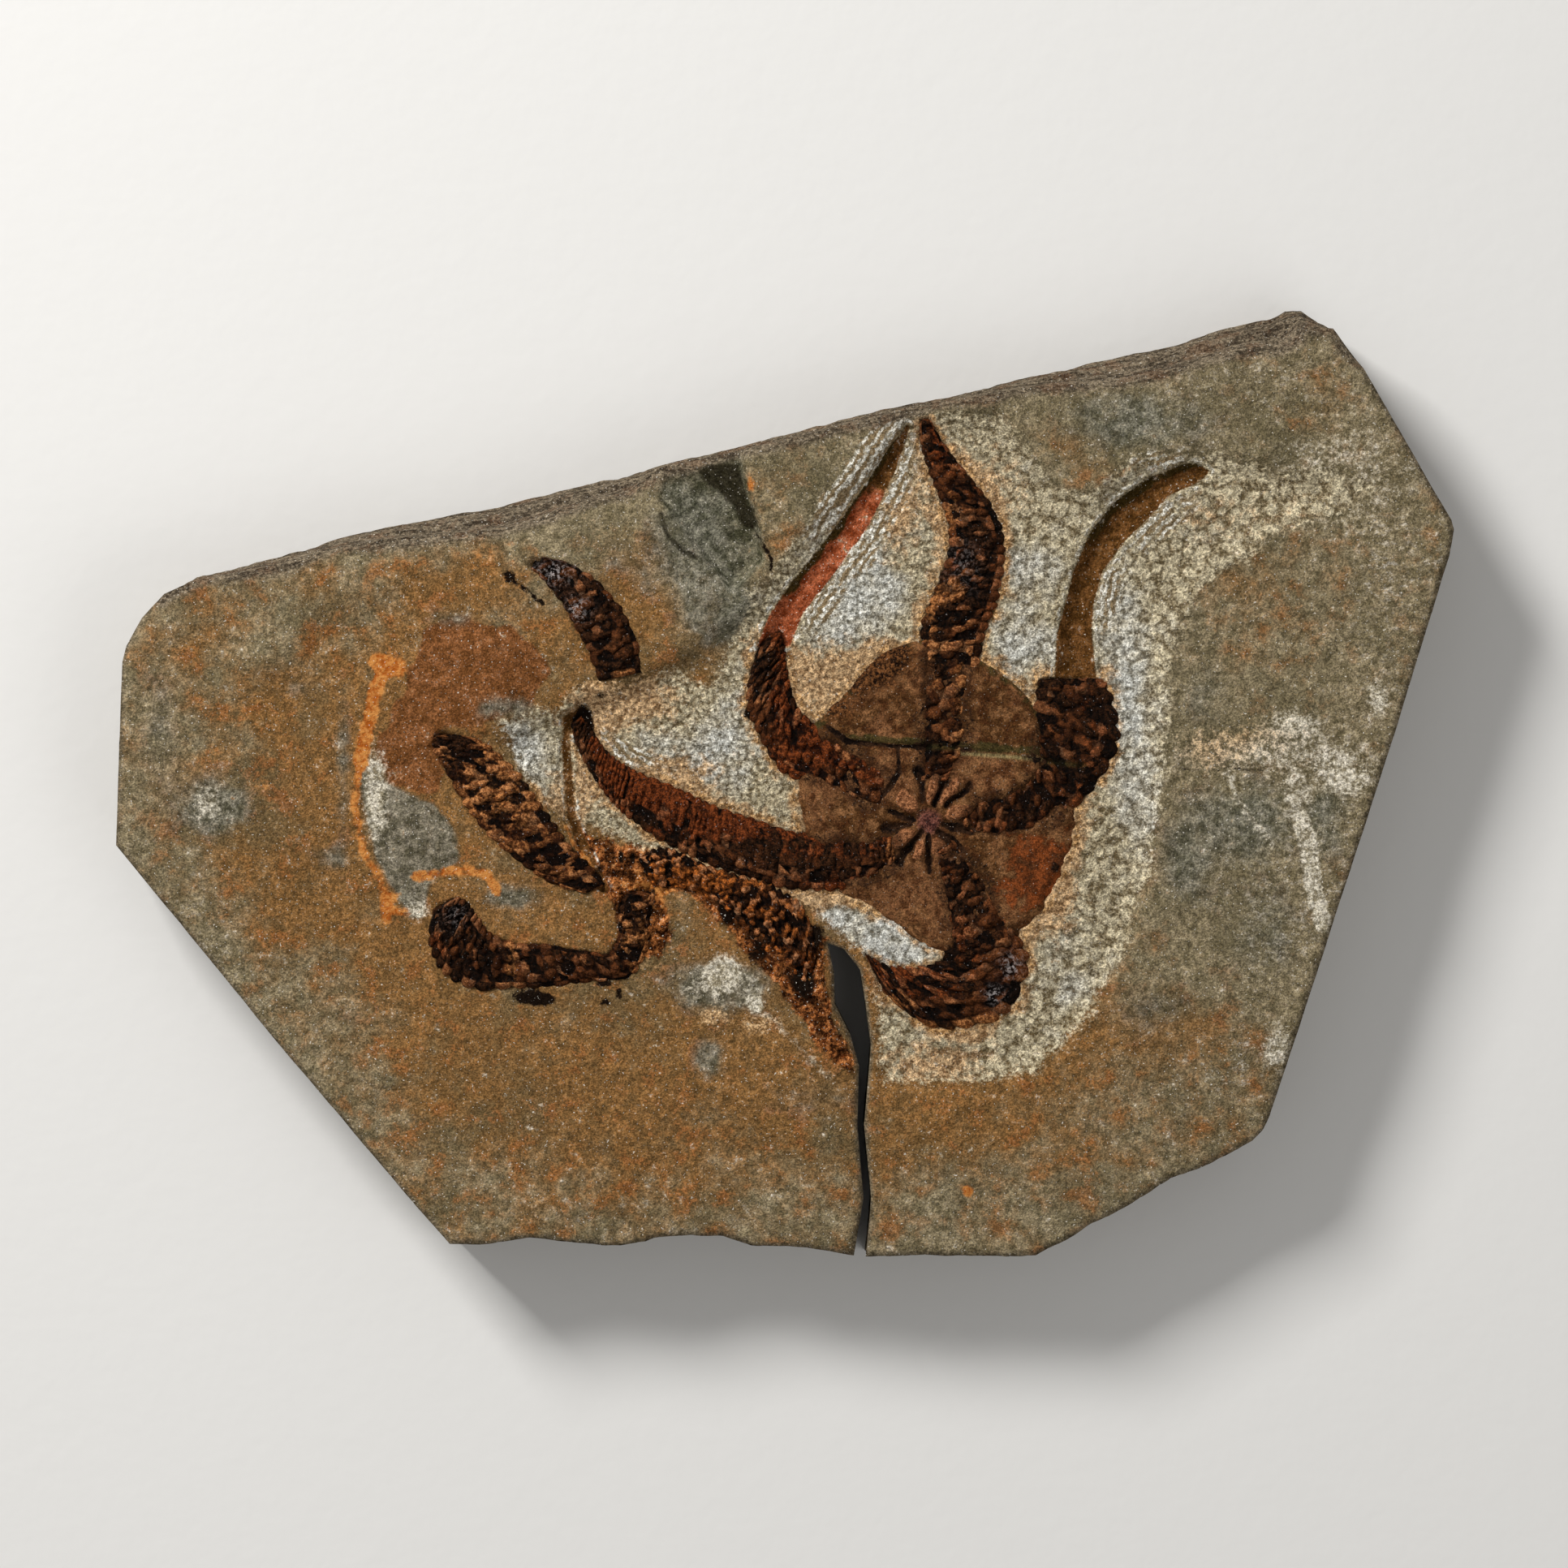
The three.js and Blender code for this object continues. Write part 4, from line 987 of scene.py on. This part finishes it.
def disc_points(spacing, seed, clear):
    """Scattered plan points on the disc, clear of its edge."""
    reach = max(DISC_RADII)
    box = [[centre + side * reach for centre in DISC_CENTRE] for side in (-1, 1)]
    x, y = scatter(box, spacing, seed)
    keep = inside_disc(x, y) > clear
    return np.stack([x[keep], y[keep]], axis=1)


def jaw_pattern(x, y):
    """Raised jaws about the mouth, and the dark slits beside them."""
    dx = x - DISC_CENTRE[0] + 0.25 * noise(x, y, 1.1, 95)
    dy = y - DISC_CENTRE[1] + 0.25 * noise(x, y, 1.1, 97)
    petal, slit = np.zeros(len(x)), np.zeros(len(x))
    for bearing, start, end, half in JAWS:
        turn = math.radians(bearing)
        out = (dx * math.cos(turn) + dy * math.sin(turn) - (start + end) / 2) / ((end - start) / 2)
        aside = (dy * math.cos(turn) - dx * math.sin(turn)) / half
        petal = np.maximum(petal, 1 - smoothstep(out**2 + aside**2, 0.5, 1.15))
    for bearing, start, end in SLITS:
        turn = math.radians(bearing)
        ends = [(math.cos(turn) * radius, math.sin(turn) * radius) for radius in (start, end)]
        slit = np.maximum(slit, bell(to_segment(dx, dy, *ends), 0.38))
    return petal, slit, np.hypot(dx, dy)


def disc_crack(x, y):
    """The olive fracture, which fades under the arm on the right, and the crack in the disc."""
    fracture = on_line(FRACTURE, CRACK_WIDTH, x, y, 0.35) * (1 - 0.75 * smoothstep(x, 17, 20))
    return np.maximum(fracture, on_line(DISC_CRACK, CRACK_WIDTH, x, y, 0.25))


def skin_ground(x, y):
    """The skin's height over the bed, and how far each of its colours shows."""
    in_arm, edge = covered(x, y)[0], inside_disc(x, y)
    petal, slit, from_mouth = jaw_pattern(x, y)
    crack = disc_crack(x, y)
    bank_x, bank_y, fall = FRACTURE_BANK
    over_line = y - bank_y + fall * (x - bank_x)
    north = smoothstep(over_line, 0.1, 0.8)
    in_mouth = 1 - smoothstep(from_mouth, 0.4, 1)
    lumpy = np.clip(spots(SKIN_LUMPS, x, y), 0, 1)
    relief = (
        (DISC_RISE + 0.15) * smoothstep(edge + 0.5 * rough(x, y, 2, 85), 0.1, SKIN_EDGE)
        - 0.1
        + 0.22 * rough(x, y, 2.6, 81, 3)
        + 0.12 * rough(x, y, 0.8, 83, 2)
        + 0.25 * smoothstep(in_arm, -4.5, -1) * smoothstep(edge, 0, 2)
        + 0.4 * petal
        + 0.12 * north
        + 0.35 * lumpy * chunks(x, y, 1.3, 89)[0] * smoothstep(edge, 0, 1)
    )
    relief -= 0.5 * slit + 0.3 * crack + 0.15 * in_mouth + 0.35 * smoothstep(in_arm, 0.5, 1.2)
    by_line = north * (1 - smoothstep(over_line, 0.7, 1.9)) * smoothstep(x, 5, 8)
    worn_rim = 0.6 * north * (1 - smoothstep(edge + rough(x, y, 2.4, 87), 0, 2))
    # Painted shadow on the skin along the arms
    by_arm = 0.55 * smoothstep(in_arm + 1.6 * rough(x, y, 1.8, 91), -1.2, 0.4)
    masks = {
        "petal": petal + 0.5 * in_mouth,
        "mouth": 1 - smoothstep(from_mouth, 0.8, 2),
        # Painted shade: the slits, cracks, holes and arms' edges are made dark
        "dark": slit + crack + by_arm + spots(SPOTS["black"], x, y),
        "lumpy": lumpy,
        "olive": by_line + worn_rim,
        "red": spots(SKIN_RED, x, y),
        "seam": bell(over_line, 0.2) * smoothstep(x, 18, 20),
    }
    return relief, {label: np.clip(mask, 0, 1) for label, mask in masks.items()}


def disc_piece(material):
    bearing = np.linspace(0, 2 * np.pi, DISC_CORNERS, endpoint=False)
    out = np.stack([np.cos(bearing), np.sin(bearing)], axis=1)
    loop = np.array(DISC_CENTRE) + (disc_radius(bearing) - 0.1)[:, None] * out
    plan = np.vstack([loop, disc_points(DISC_STEP, 21, 0.35)])
    relief, masks = skin_ground(*plan.T)
    top = np.column_stack([plan, bed_height(*plan.T) + relief])
    top_loop = top[: len(loop)]
    seat = np.column_stack([loop, bed_height(*loop.T) - DISC_SEAT])
    rings = [top_loop + (seat - top_loop) * k / DISC_RINGS for k in range(1, DISC_RINGS + 1)]
    foot = disc_points(DISC_FOOT_STEP, 22, DISC_FOOT_CLEAR)
    foot = np.column_stack([foot, bed_height(*foot.T) - DISC_SEAT])
    points, faces = closed_plate(top_loop, top[len(loop):], rings, foot)
    make_piece("disc_skin", points, faces, masks, material, "disc")


# ---------------------------------------------------------------- materials


def shade(red, green, blue):
    """Linear colour from display values of 0 to 255."""
    channels = [c / 255 for c in (red, green, blue)]
    return (*[c / 12.92 if c <= 0.04045 else ((c + 0.055) / 1.055) ** 2.4 for c in channels], 1)


class Graph:
    """A material's node tree, with a short call for each node that the stones use.

    Its textures are noises, from broad to grain. Colours are sockets, or display values of 0 to 255.
    """

    def __init__(self, name, **textures):
        self.material = bpy.data.materials.new(name)
        self.material.use_nodes = True
        self.tree = self.material.node_tree
        self.shader = self.tree.nodes["Principled BSDF"]
        coordinates = self.node("TexCoord", {}, "Object")
        self.place = self.node("VectorMath", {0: coordinates, "Scale": 1 / MM}, operation="SCALE")
        for label, settings in textures.items():
            setattr(self, label, self.noise(*settings))

    def feed(self, node, inputs):
        for key, value in inputs.items():
            if isinstance(value, bpy.types.NodeSocket):
                self.tree.links.new(value, node.inputs[key])
            else:
                node.inputs[key].default_value = value

    def node(self, kind, inputs, output=0, **settings):
        """One output of a new node."""
        node = self.tree.nodes.new("ShaderNode" + kind)
        for key, value in settings.items():
            setattr(node, key, value)
        self.feed(node, inputs)
        return node.outputs[output]

    def attribute(self, name):
        return self.node("Attribute", {}, "Fac", attribute_name=name)

    def noise(self, size, detail=3, roughness=0.65, stretch=(1, 1, 1)):
        place = self.node("VectorMath", {0: self.place, 1: stretch}, operation="MULTIPLY")
        inputs = {"Vector": place, "Scale": 1 / size, "Detail": detail, "Roughness": roughness}
        return self.node("TexNoise", inputs, "Fac")

    def cells(self, size):
        """Distance to the nearest of scattered centres over the plan, seen through bent space."""
        bend = self.node("TexNoise", {"Vector": self.place, "Scale": 0.7 / size}, "Color")
        bent = {0: bend, 1: (0.8 * size, 0.8 * size, 0), 2: self.place}
        bent = self.node("VectorMath", bent, operation="MULTIPLY_ADD")
        cell = {"Vector": bent, "Scale": 1 / size}
        return self.node("TexVoronoi", cell, "Distance", voronoi_dimensions="2D")

    def math(self, operation, a, b):
        return self.node("Math", {0: a, 1: b}, operation=operation)

    def times(self, a, b):
        return self.math("MULTIPLY", a, b)

    def weighted(self, a, share_a, b, share_b):
        return self.math("ADD", self.times(a, share_a), self.times(b, share_b))

    def step(self, value, low, high, start=0.0, end=1.0):
        """From start to end as a value rises from low to high."""
        limits = {"From Min": low, "From Max": high, "To Min": start, "To Max": end}
        return self.node("MapRange", {"Value": value, **limits}, interpolation_type="SMOOTHSTEP")

    def broken(self, name, texture, amount=1.6, low=0.3, high=0.7, most=1.0):
        """A painted mask whose edge is broken up by a texture."""
        shifted = self.weighted(self.attribute(name), 1, texture, amount)
        return self.step(shifted, low + amount / 2, high + amount / 2, 0, most)

    def mix(self, factor, a, b):
        a, b = (shade(*c) if isinstance(c, tuple) else c for c in (a, b))
        return self.node("Mix", {0: factor, 6: a, 7: b}, 2, data_type="RGBA")

    def blend(self, texture, a, b, low=0.4, high=0.6):
        """From one colour to another as a texture rises."""
        return self.mix(self.step(texture, low, high), a, b)

    def coat(self, colour, paint, name, *breaking):
        """A colour painted over where a broken mask shows."""
        return self.mix(self.broken(name, *breaking), colour, paint)

    def scaled(self, colour, texture, dark, light, low=0.38, high=0.62):
        """A colour made darker or lighter as a texture rises."""
        scale = self.step(texture, low, high, dark, light)
        return self.node("VectorMath", {0: colour, "Scale": scale}, operation="SCALE")

    def flakes(self, size, rarity):
        """Scattered bright flakes: where a fine noise tops a high mark."""
        return self.step(self.noise(size, 1), rarity, rarity + 0.09)

    def bump(self, height, millimetres, **under):
        inputs = {"Height": height, "Distance": millimetres * MM, **under}
        return self.node("Bump", inputs)

    def finish(self, colour, roughness, normal, gloss=0.02):
        surface = {"Base Color": colour, "Roughness": roughness, "Normal": normal}
        self.feed(self.shader, {**surface, "Specular IOR Level": gloss})
        return self.material


def bed_colour(g):
    """Brown bedding plane: warm inland to the lower left, greyer to the right and by the edges."""
    cool = g.blend(g.mottle, (106, 95, 70), (150, 135, 106), 0.36, 0.64)
    warm = g.blend(g.mottle, (110, 82, 48), (146, 105, 60), 0.36, 0.64)
    colour = g.coat(cool, warm, "warm", g.blotch, 1.6, 0.05, 0.95)
    olive = g.step(g.weighted(g.noise(11), 0.7, g.mottle, 0.3), 0.5, 0.6, 0, 0.55)
    colour = g.mix(olive, colour, (92, 84, 60))
    rusty = g.step(g.weighted(g.blotch, 0.75, g.speck, 0.25), 0.53, 0.63, 0, 0.55)
    inland = g.step(g.attribute("warm"), 0, 0.7, 0.25, 1)
    colour = g.mix(g.times(rusty, inland), colour, (148, 90, 46))
    colour = g.coat(colour, g.blend(g.mottle, (106, 66, 34), (134, 86, 50)), "red", g.blotch, 1.2)
    colour = g.mix(g.attribute("chip"), colour, g.blend(g.mottle, (66, 64, 46), (112, 106, 86)))
    grey = g.blend(g.mottle, (78, 77, 62), (134, 130, 114), 0.36, 0.64)
    return g.coat(colour, grey, "grey", g.blotch, 1.6, 0.2, 0.9, 0.85)


def rubbed_colour(g, colour):
    """Pale, cream and speckled ground over the bed."""
    fleck = g.weighted(g.mottle, 0.5, g.speck, 0.5)
    pale = g.blend(fleck, (144, 132, 106), (212, 203, 184))
    colour = g.coat(colour, pale, "pale", fleck, 1.7, 0.15, 0.8)
    cream = g.blend(fleck, (142, 104, 66), (214, 178, 132))
    colour = g.coat(colour, cream, "cream", fleck, 2.2, 0.3, 1)
    specks = g.step(g.noise(0.5, 3, 0.7, (0.5, 1, 1)), 0.52, 0.6, 0, 0.8)
    frost = g.times(g.broken("frost", g.mottle, 2.4, 0.3, 1.1), specks)
    return g.mix(frost, colour, (196, 186, 170))


def mineral_colour(g, colour):
    """Rust and the two grooves over the bed."""
    rust = g.blend(g.speck, (58, 30, 14), (134, 80, 40))
    bright = g.blend(g.speck, (122, 60, 22), (178, 116, 66))
    rust = g.mix(g.step(g.mottle, 0.5, 0.6), rust, bright)
    # Darker between the rusty lumps: painted shade in the gaps, with tone that differs from lump to
    # lump
    rust = g.scaled(rust, g.attribute("lump"), 0.3, 1.15, 0, 0.4)
    colour = g.coat(colour, rust, "rust", g.mottle)
    brown = g.blend(g.mottle, (72, 46, 18), (106, 70, 36))
    red = g.blend(g.mottle, (108, 48, 22), (160, 88, 56), 0.36, 0.64)
    bottom = g.coat(brown, red, "groove_red", g.mottle, 1.2)
    # Painted shade: dark olive on the grooves' left walls
    bottom = g.coat(bottom, (58, 44, 18), "olive", g.mottle, 1.2)
    return g.coat(colour, bottom, "groove", g.speck, 1)


def cleared_colour(g, colour):
    """Ground cleared with the air scribe: powdered knobs over darker gaps."""
    fine, coarse = g.step(g.cells(0.7), 0.7, 0.2), g.step(g.cells(1.25), 0.62, 0.3)
    knob = g.mix(g.attribute("coarse"), fine, coarse)
    knob = g.weighted(knob, 0.65, g.step(g.speck, 0.36, 0.62), 0.4)
    white = g.broken("white", g.blotch, 1.6, 0.1, 1.1)
    tan = g.broken("tan", g.mottle, 1.8, 0.25, 0.85)
    powder = g.mix(white, (204, 190, 158), (224, 222, 212))
    powder = g.mix(tan, powder, (212, 176, 132))
    powder = g.scaled(powder, g.mottle, 0.78, 1.04, 0.36, 0.62)
    gap = g.mix(white, (104, 88, 60), (124, 119, 104))
    gap = g.mix(tan, gap, (124, 92, 60))
    colour = g.coat(colour, g.mix(knob, gap, powder), "scribed", g.speck, 1.8, 0.2, 0.9)
    rim = g.blend(g.speck, (124, 84, 42), (200, 154, 98))
    return g.coat(colour, rim, "rim", g.mottle, 2.6, 0.3, 0.9, 0.7), knob


def stroked_colour(g, colour):
    """Pale scribe strokes beside the grooves, and their bright lips."""
    bends = g.weighted(g.blotch, 14, g.mottle, 8)
    place = g.math("ADD", g.times(g.attribute("stroke"), 6.5), bends)
    stroke = g.step(g.math("SINE", place, 0), -0.5, 0.6)
    bright = g.blend(g.speck, (172, 160, 136), (228, 224, 212))
    colour = g.coat(colour, g.mix(stroke, (134, 114, 84), bright), "bank", g.mottle, 2.6, 0.25, 0.8)
    lip = g.broken("lip", g.mottle, 3.2, 0.6, 1.1)
    return g.mix(lip, colour, g.blend(g.speck, (182, 172, 150), (226, 222, 210))), lip


def side_colour(g, colour):
    """The slab's sides: thin layers where they are broken, plain where they are sawn."""
    layers = g.weighted(g.noise(1.3, 4, 0.7, (0.24, 0.24, 2)), 0.55, g.speck, 0.45)
    # The sides are coloured darker than the top: painted shade over the stone's own layers
    side = g.blend(layers, (62, 53, 42), (122, 109, 90))
    side = g.mix(g.step(g.blotch, 0.5, 0.62, 0, 0.35), side, (104, 74, 52))
    sawn = g.blend(g.mottle, (96, 86, 68), (124, 112, 90))
    side = g.mix(g.times(g.attribute("sawn"), 0.7), side, sawn)
    return g.mix(g.attribute("side"), colour, side)


def stone_material():
    g = Graph("siltstone", blotch=(3.2, 4), mottle=(1.2, 4), speck=(0.46, 3, 0.7), grain=(0.2, 2))
    colour = bed_colour(g)
    colour = rubbed_colour(g, colour)
    colour = mineral_colour(g, colour)
    colour, knob = cleared_colour(g, colour)
    colour, lip = stroked_colour(g, colour)
    colour = side_colour(g, colour)
    # Darker ground: painted shade by the chip and along folds, and dark patches
    colour = g.coat(colour, (36, 32, 20), "shade", g.mottle, 0.8, 0.3, 0.7, 0.9)
    # Painted shade: black in holes, pits and cracks and along the arms' edges
    colour = g.coat(colour, (24, 16, 10), "black", g.speck, 1.4, 0.4, 0.75)
    colour = g.scaled(colour, g.grain, 0.66, 1.36)
    colour = g.scaled(colour, g.speck, 0.76, 1.22)
    vein = g.blend(g.weighted(g.speck, 0.5, g.mottle, 0.5), (162, 84, 28), (204, 138, 72))
    colour = g.coat(colour, vein, "orange", g.mottle, 1.6, 0.3, 0.75)
    mica = g.flakes(0.26, 0.68)
    colour = g.mix(g.times(mica, 0.8), colour, (228, 220, 206))
    normal = g.bump(g.weighted(g.speck, 1, g.grain, 0.5), 0.24)
    knobs = g.times(knob, g.attribute("scribed"))
    normal = g.bump(g.weighted(knobs, 1, lip, 0.8), 0.1, Normal=normal)
    return g.finish(colour, g.step(mica, 0, 1, 0.9, 0.4), normal)


def plates_material(name, dark, brown, bright, pale_share):
    """Plates from dark to brown, bright in some places, with some pale ones among them."""
    g = Graph(name, blotch=(1.8, 3), speck=(0.42, 4, 0.7), grain=(0.17, 2))
    own = g.attribute("own")
    tone = g.math("ADD", g.weighted(g.blotch, 0.35, g.speck, 0.4), g.times(own, 0.25))
    colour = g.blend(tone, dark, brown, 0.38, 0.66)
    red = g.blend(g.speck, (52, 19, 4), (124, 60, 26))
    colour = g.coat(colour, red, "red", tone, 2.4, 0.3, 0.7, 0.85)
    orange = g.blend(g.speck, (98, 54, 24), bright)
    colour = g.coat(colour, orange, "orange", tone, 2.8, 0.3, 0.95)
    black = g.blend(g.speck, (13, 5, 1), (58, 33, 16))
    soot = g.math("ADD", g.weighted(g.blotch, 0.9, own, -0.6), 0.35)
    colour = g.coat(colour, black, "black", soot, 2.2, 0.5, 1)
    colour = g.mix(g.times(g.attribute("olive"), 0.75), colour, (54, 50, 24))
    # Painted shade: darker in the gaps between plates
    colour = g.scaled(colour, g.attribute("plates"), 0.3, 1.1, 0, 0.5)
    pale = g.blend(g.speck, (128, 82, 50), (196, 152, 114))
    colour = g.mix(g.step(own, 0.72, 0.9, 0, pale_share), colour, pale)
    colour = g.scaled(colour, own, 0.85, 1.2, 0, 1)
    colour = g.scaled(colour, g.grain, 0.6, 1.45)
    glint = g.times(g.attribute("glint"), g.step(g.speck, 0.5, 0.58))
    glint = g.math("MAXIMUM", g.flakes(0.22, 0.71), glint)
    colour = g.mix(g.times(glint, 0.65), colour, (204, 194, 190))
    normal = g.bump(g.weighted(g.speck, 1, g.grain, 0.5), 0.4)
    return g.finish(colour, g.step(g.blotch, 0.35, 0.65, 0.4, 0.7), normal, 0.06)


def skin_material():
    g = Graph("disc_skin", broad=(5, 4), mottle=(1.4, 4), speck=(0.42, 4, 0.7), grain=(0.18, 2))
    colour = g.blend(g.broad, (84, 54, 28), (120, 80, 50))
    colour = g.mix(g.step(g.mottle, 0.5, 0.6, 0, 0.75), colour, (66, 36, 17))
    colour = g.mix(g.step(g.mottle, 0.38, 0.48, 0.7, 0), colour, (140, 98, 62))
    red = g.blend(g.mottle, (70, 30, 12), (140, 72, 34))
    colour = g.coat(colour, red, "red", g.mottle, 1.6, 0.3, 0.7, 0.75)
    colour = g.coat(colour, (62, 58, 30), "olive", g.mottle, 1.6, 0.3, 0.7, 0.8)
    petal = g.blend(g.speck, (112, 68, 42), (168, 112, 74))
    colour = g.coat(colour, petal, "petal", g.speck, 1, 0.3, 0.7, 0.85)
    colour = g.mix(g.attribute("mouth"), colour, g.blend(g.speck, (66, 38, 34), (112, 68, 56)))
    colour = g.coat(colour, g.blend(g.speck, (34, 20, 12), (104, 66, 36)), "lumpy", g.speck)
    colour = g.mix(g.times(g.attribute("seam"), 0.8), colour, (150, 136, 92))
    # Painted shade: dark in the slits, the cracks and holes, and along the arms
    dark = g.blend(g.mottle, (18, 11, 8), (52, 34, 22))
    colour = g.coat(colour, dark, "dark", g.speck, 1.4, 0.35, 0.75)
    colour = g.scaled(colour, g.grain, 0.66, 1.4)
    colour = g.scaled(colour, g.speck, 0.74, 1.3)
    colour = g.mix(g.times(g.flakes(0.22, 0.7), 0.7), colour, (214, 198, 178))
    normal = g.bump(g.weighted(g.speck, 1, g.grain, 0.5), 0.35)
    return g.finish(colour, g.step(g.mottle, 0.35, 0.65, 0.55, 0.8), normal, 0.03)


# ---------------------------------------------------------------- the fossil

DARK_PLATES = plates_material("dark_plates", (34, 14, 4), (100, 56, 28), (176, 116, 66), 0.12)
RUST_PLATES = plates_material("rust_plates", (40, 18, 6), (138, 78, 36), (186, 104, 42), 0.5)

slab_piece(stone_material())
disc_piece(skin_material())
for arm_name, arm_stations in {**ARMS, **STRAY_ARMS}.items():
    arm_piece(arm_name, arm_stations, DARK_PLATES)
arm_piece("crushed_arm", CRUSHED_ARM, RUST_PLATES)

# ---------------------------------------------------------------- floor, light and camera

FLOOR_SIDE = 3.0
FLOOR_COLOUR = (226, 224, 220)
FRAME_WIDTH = 175.7 * MM  # what the picture spans at the height of the bed
FRAME_CENTRE = (-0.14 * MM, -0.23 * MM)
CAMERA_RANGE = 0.9
SENSOR = 36
SKY_STRENGTH = 0.26
# Area lights in metres and watts: place, size and power
LIGHTS = {"key": ((-0.45, 0.5, 0.5), 0.25, 7.6), "fill": ((0.5, -0.4, 0.7), 0.6, 1.8)}


def floor():
    bpy.ops.mesh.primitive_plane_add(size=FLOOR_SIDE)
    plane = bpy.context.object
    plane.name = "floor"
    g = Graph("floor")
    plane.data.materials.append(g.material)
    g.finish(shade(*FLOOR_COLOUR), 0.9, g.bump(g.noise(3, 2), 0.05))


def area_light(name, place, size, watts):
    data = bpy.data.lights.new(name, "AREA")
    data.size, data.energy = size, watts
    light = bpy.data.objects.new(name, data)
    light.location = place
    light.rotation_euler = Vector(place).to_track_quat("Z", "Y").to_euler()
    bpy.context.collection.objects.link(light)


def camera():
    data = bpy.data.cameras.new("camera")
    data.sensor_width = SENSOR
    data.lens = SENSOR * CAMERA_RANGE / FRAME_WIDTH
    view = bpy.data.objects.new("camera", data)
    view.location = (*FRAME_CENTRE, BED_HEIGHT * MM + CAMERA_RANGE)
    bpy.context.collection.objects.link(view)
    bpy.context.scene.camera = view


def sky():
    world = bpy.data.worlds.new("sky")
    world.use_nodes = True
    background = world.node_tree.nodes["Background"]
    background.inputs["Color"].default_value = (1, 1, 1, 1)
    background.inputs["Strength"].default_value = SKY_STRENGTH
    bpy.context.scene.world = world


floor()
for light_name, settings in LIGHTS.items():
    area_light(light_name, *settings)
sky()
camera()
bpy.context.scene.view_settings.view_transform = "Standard"
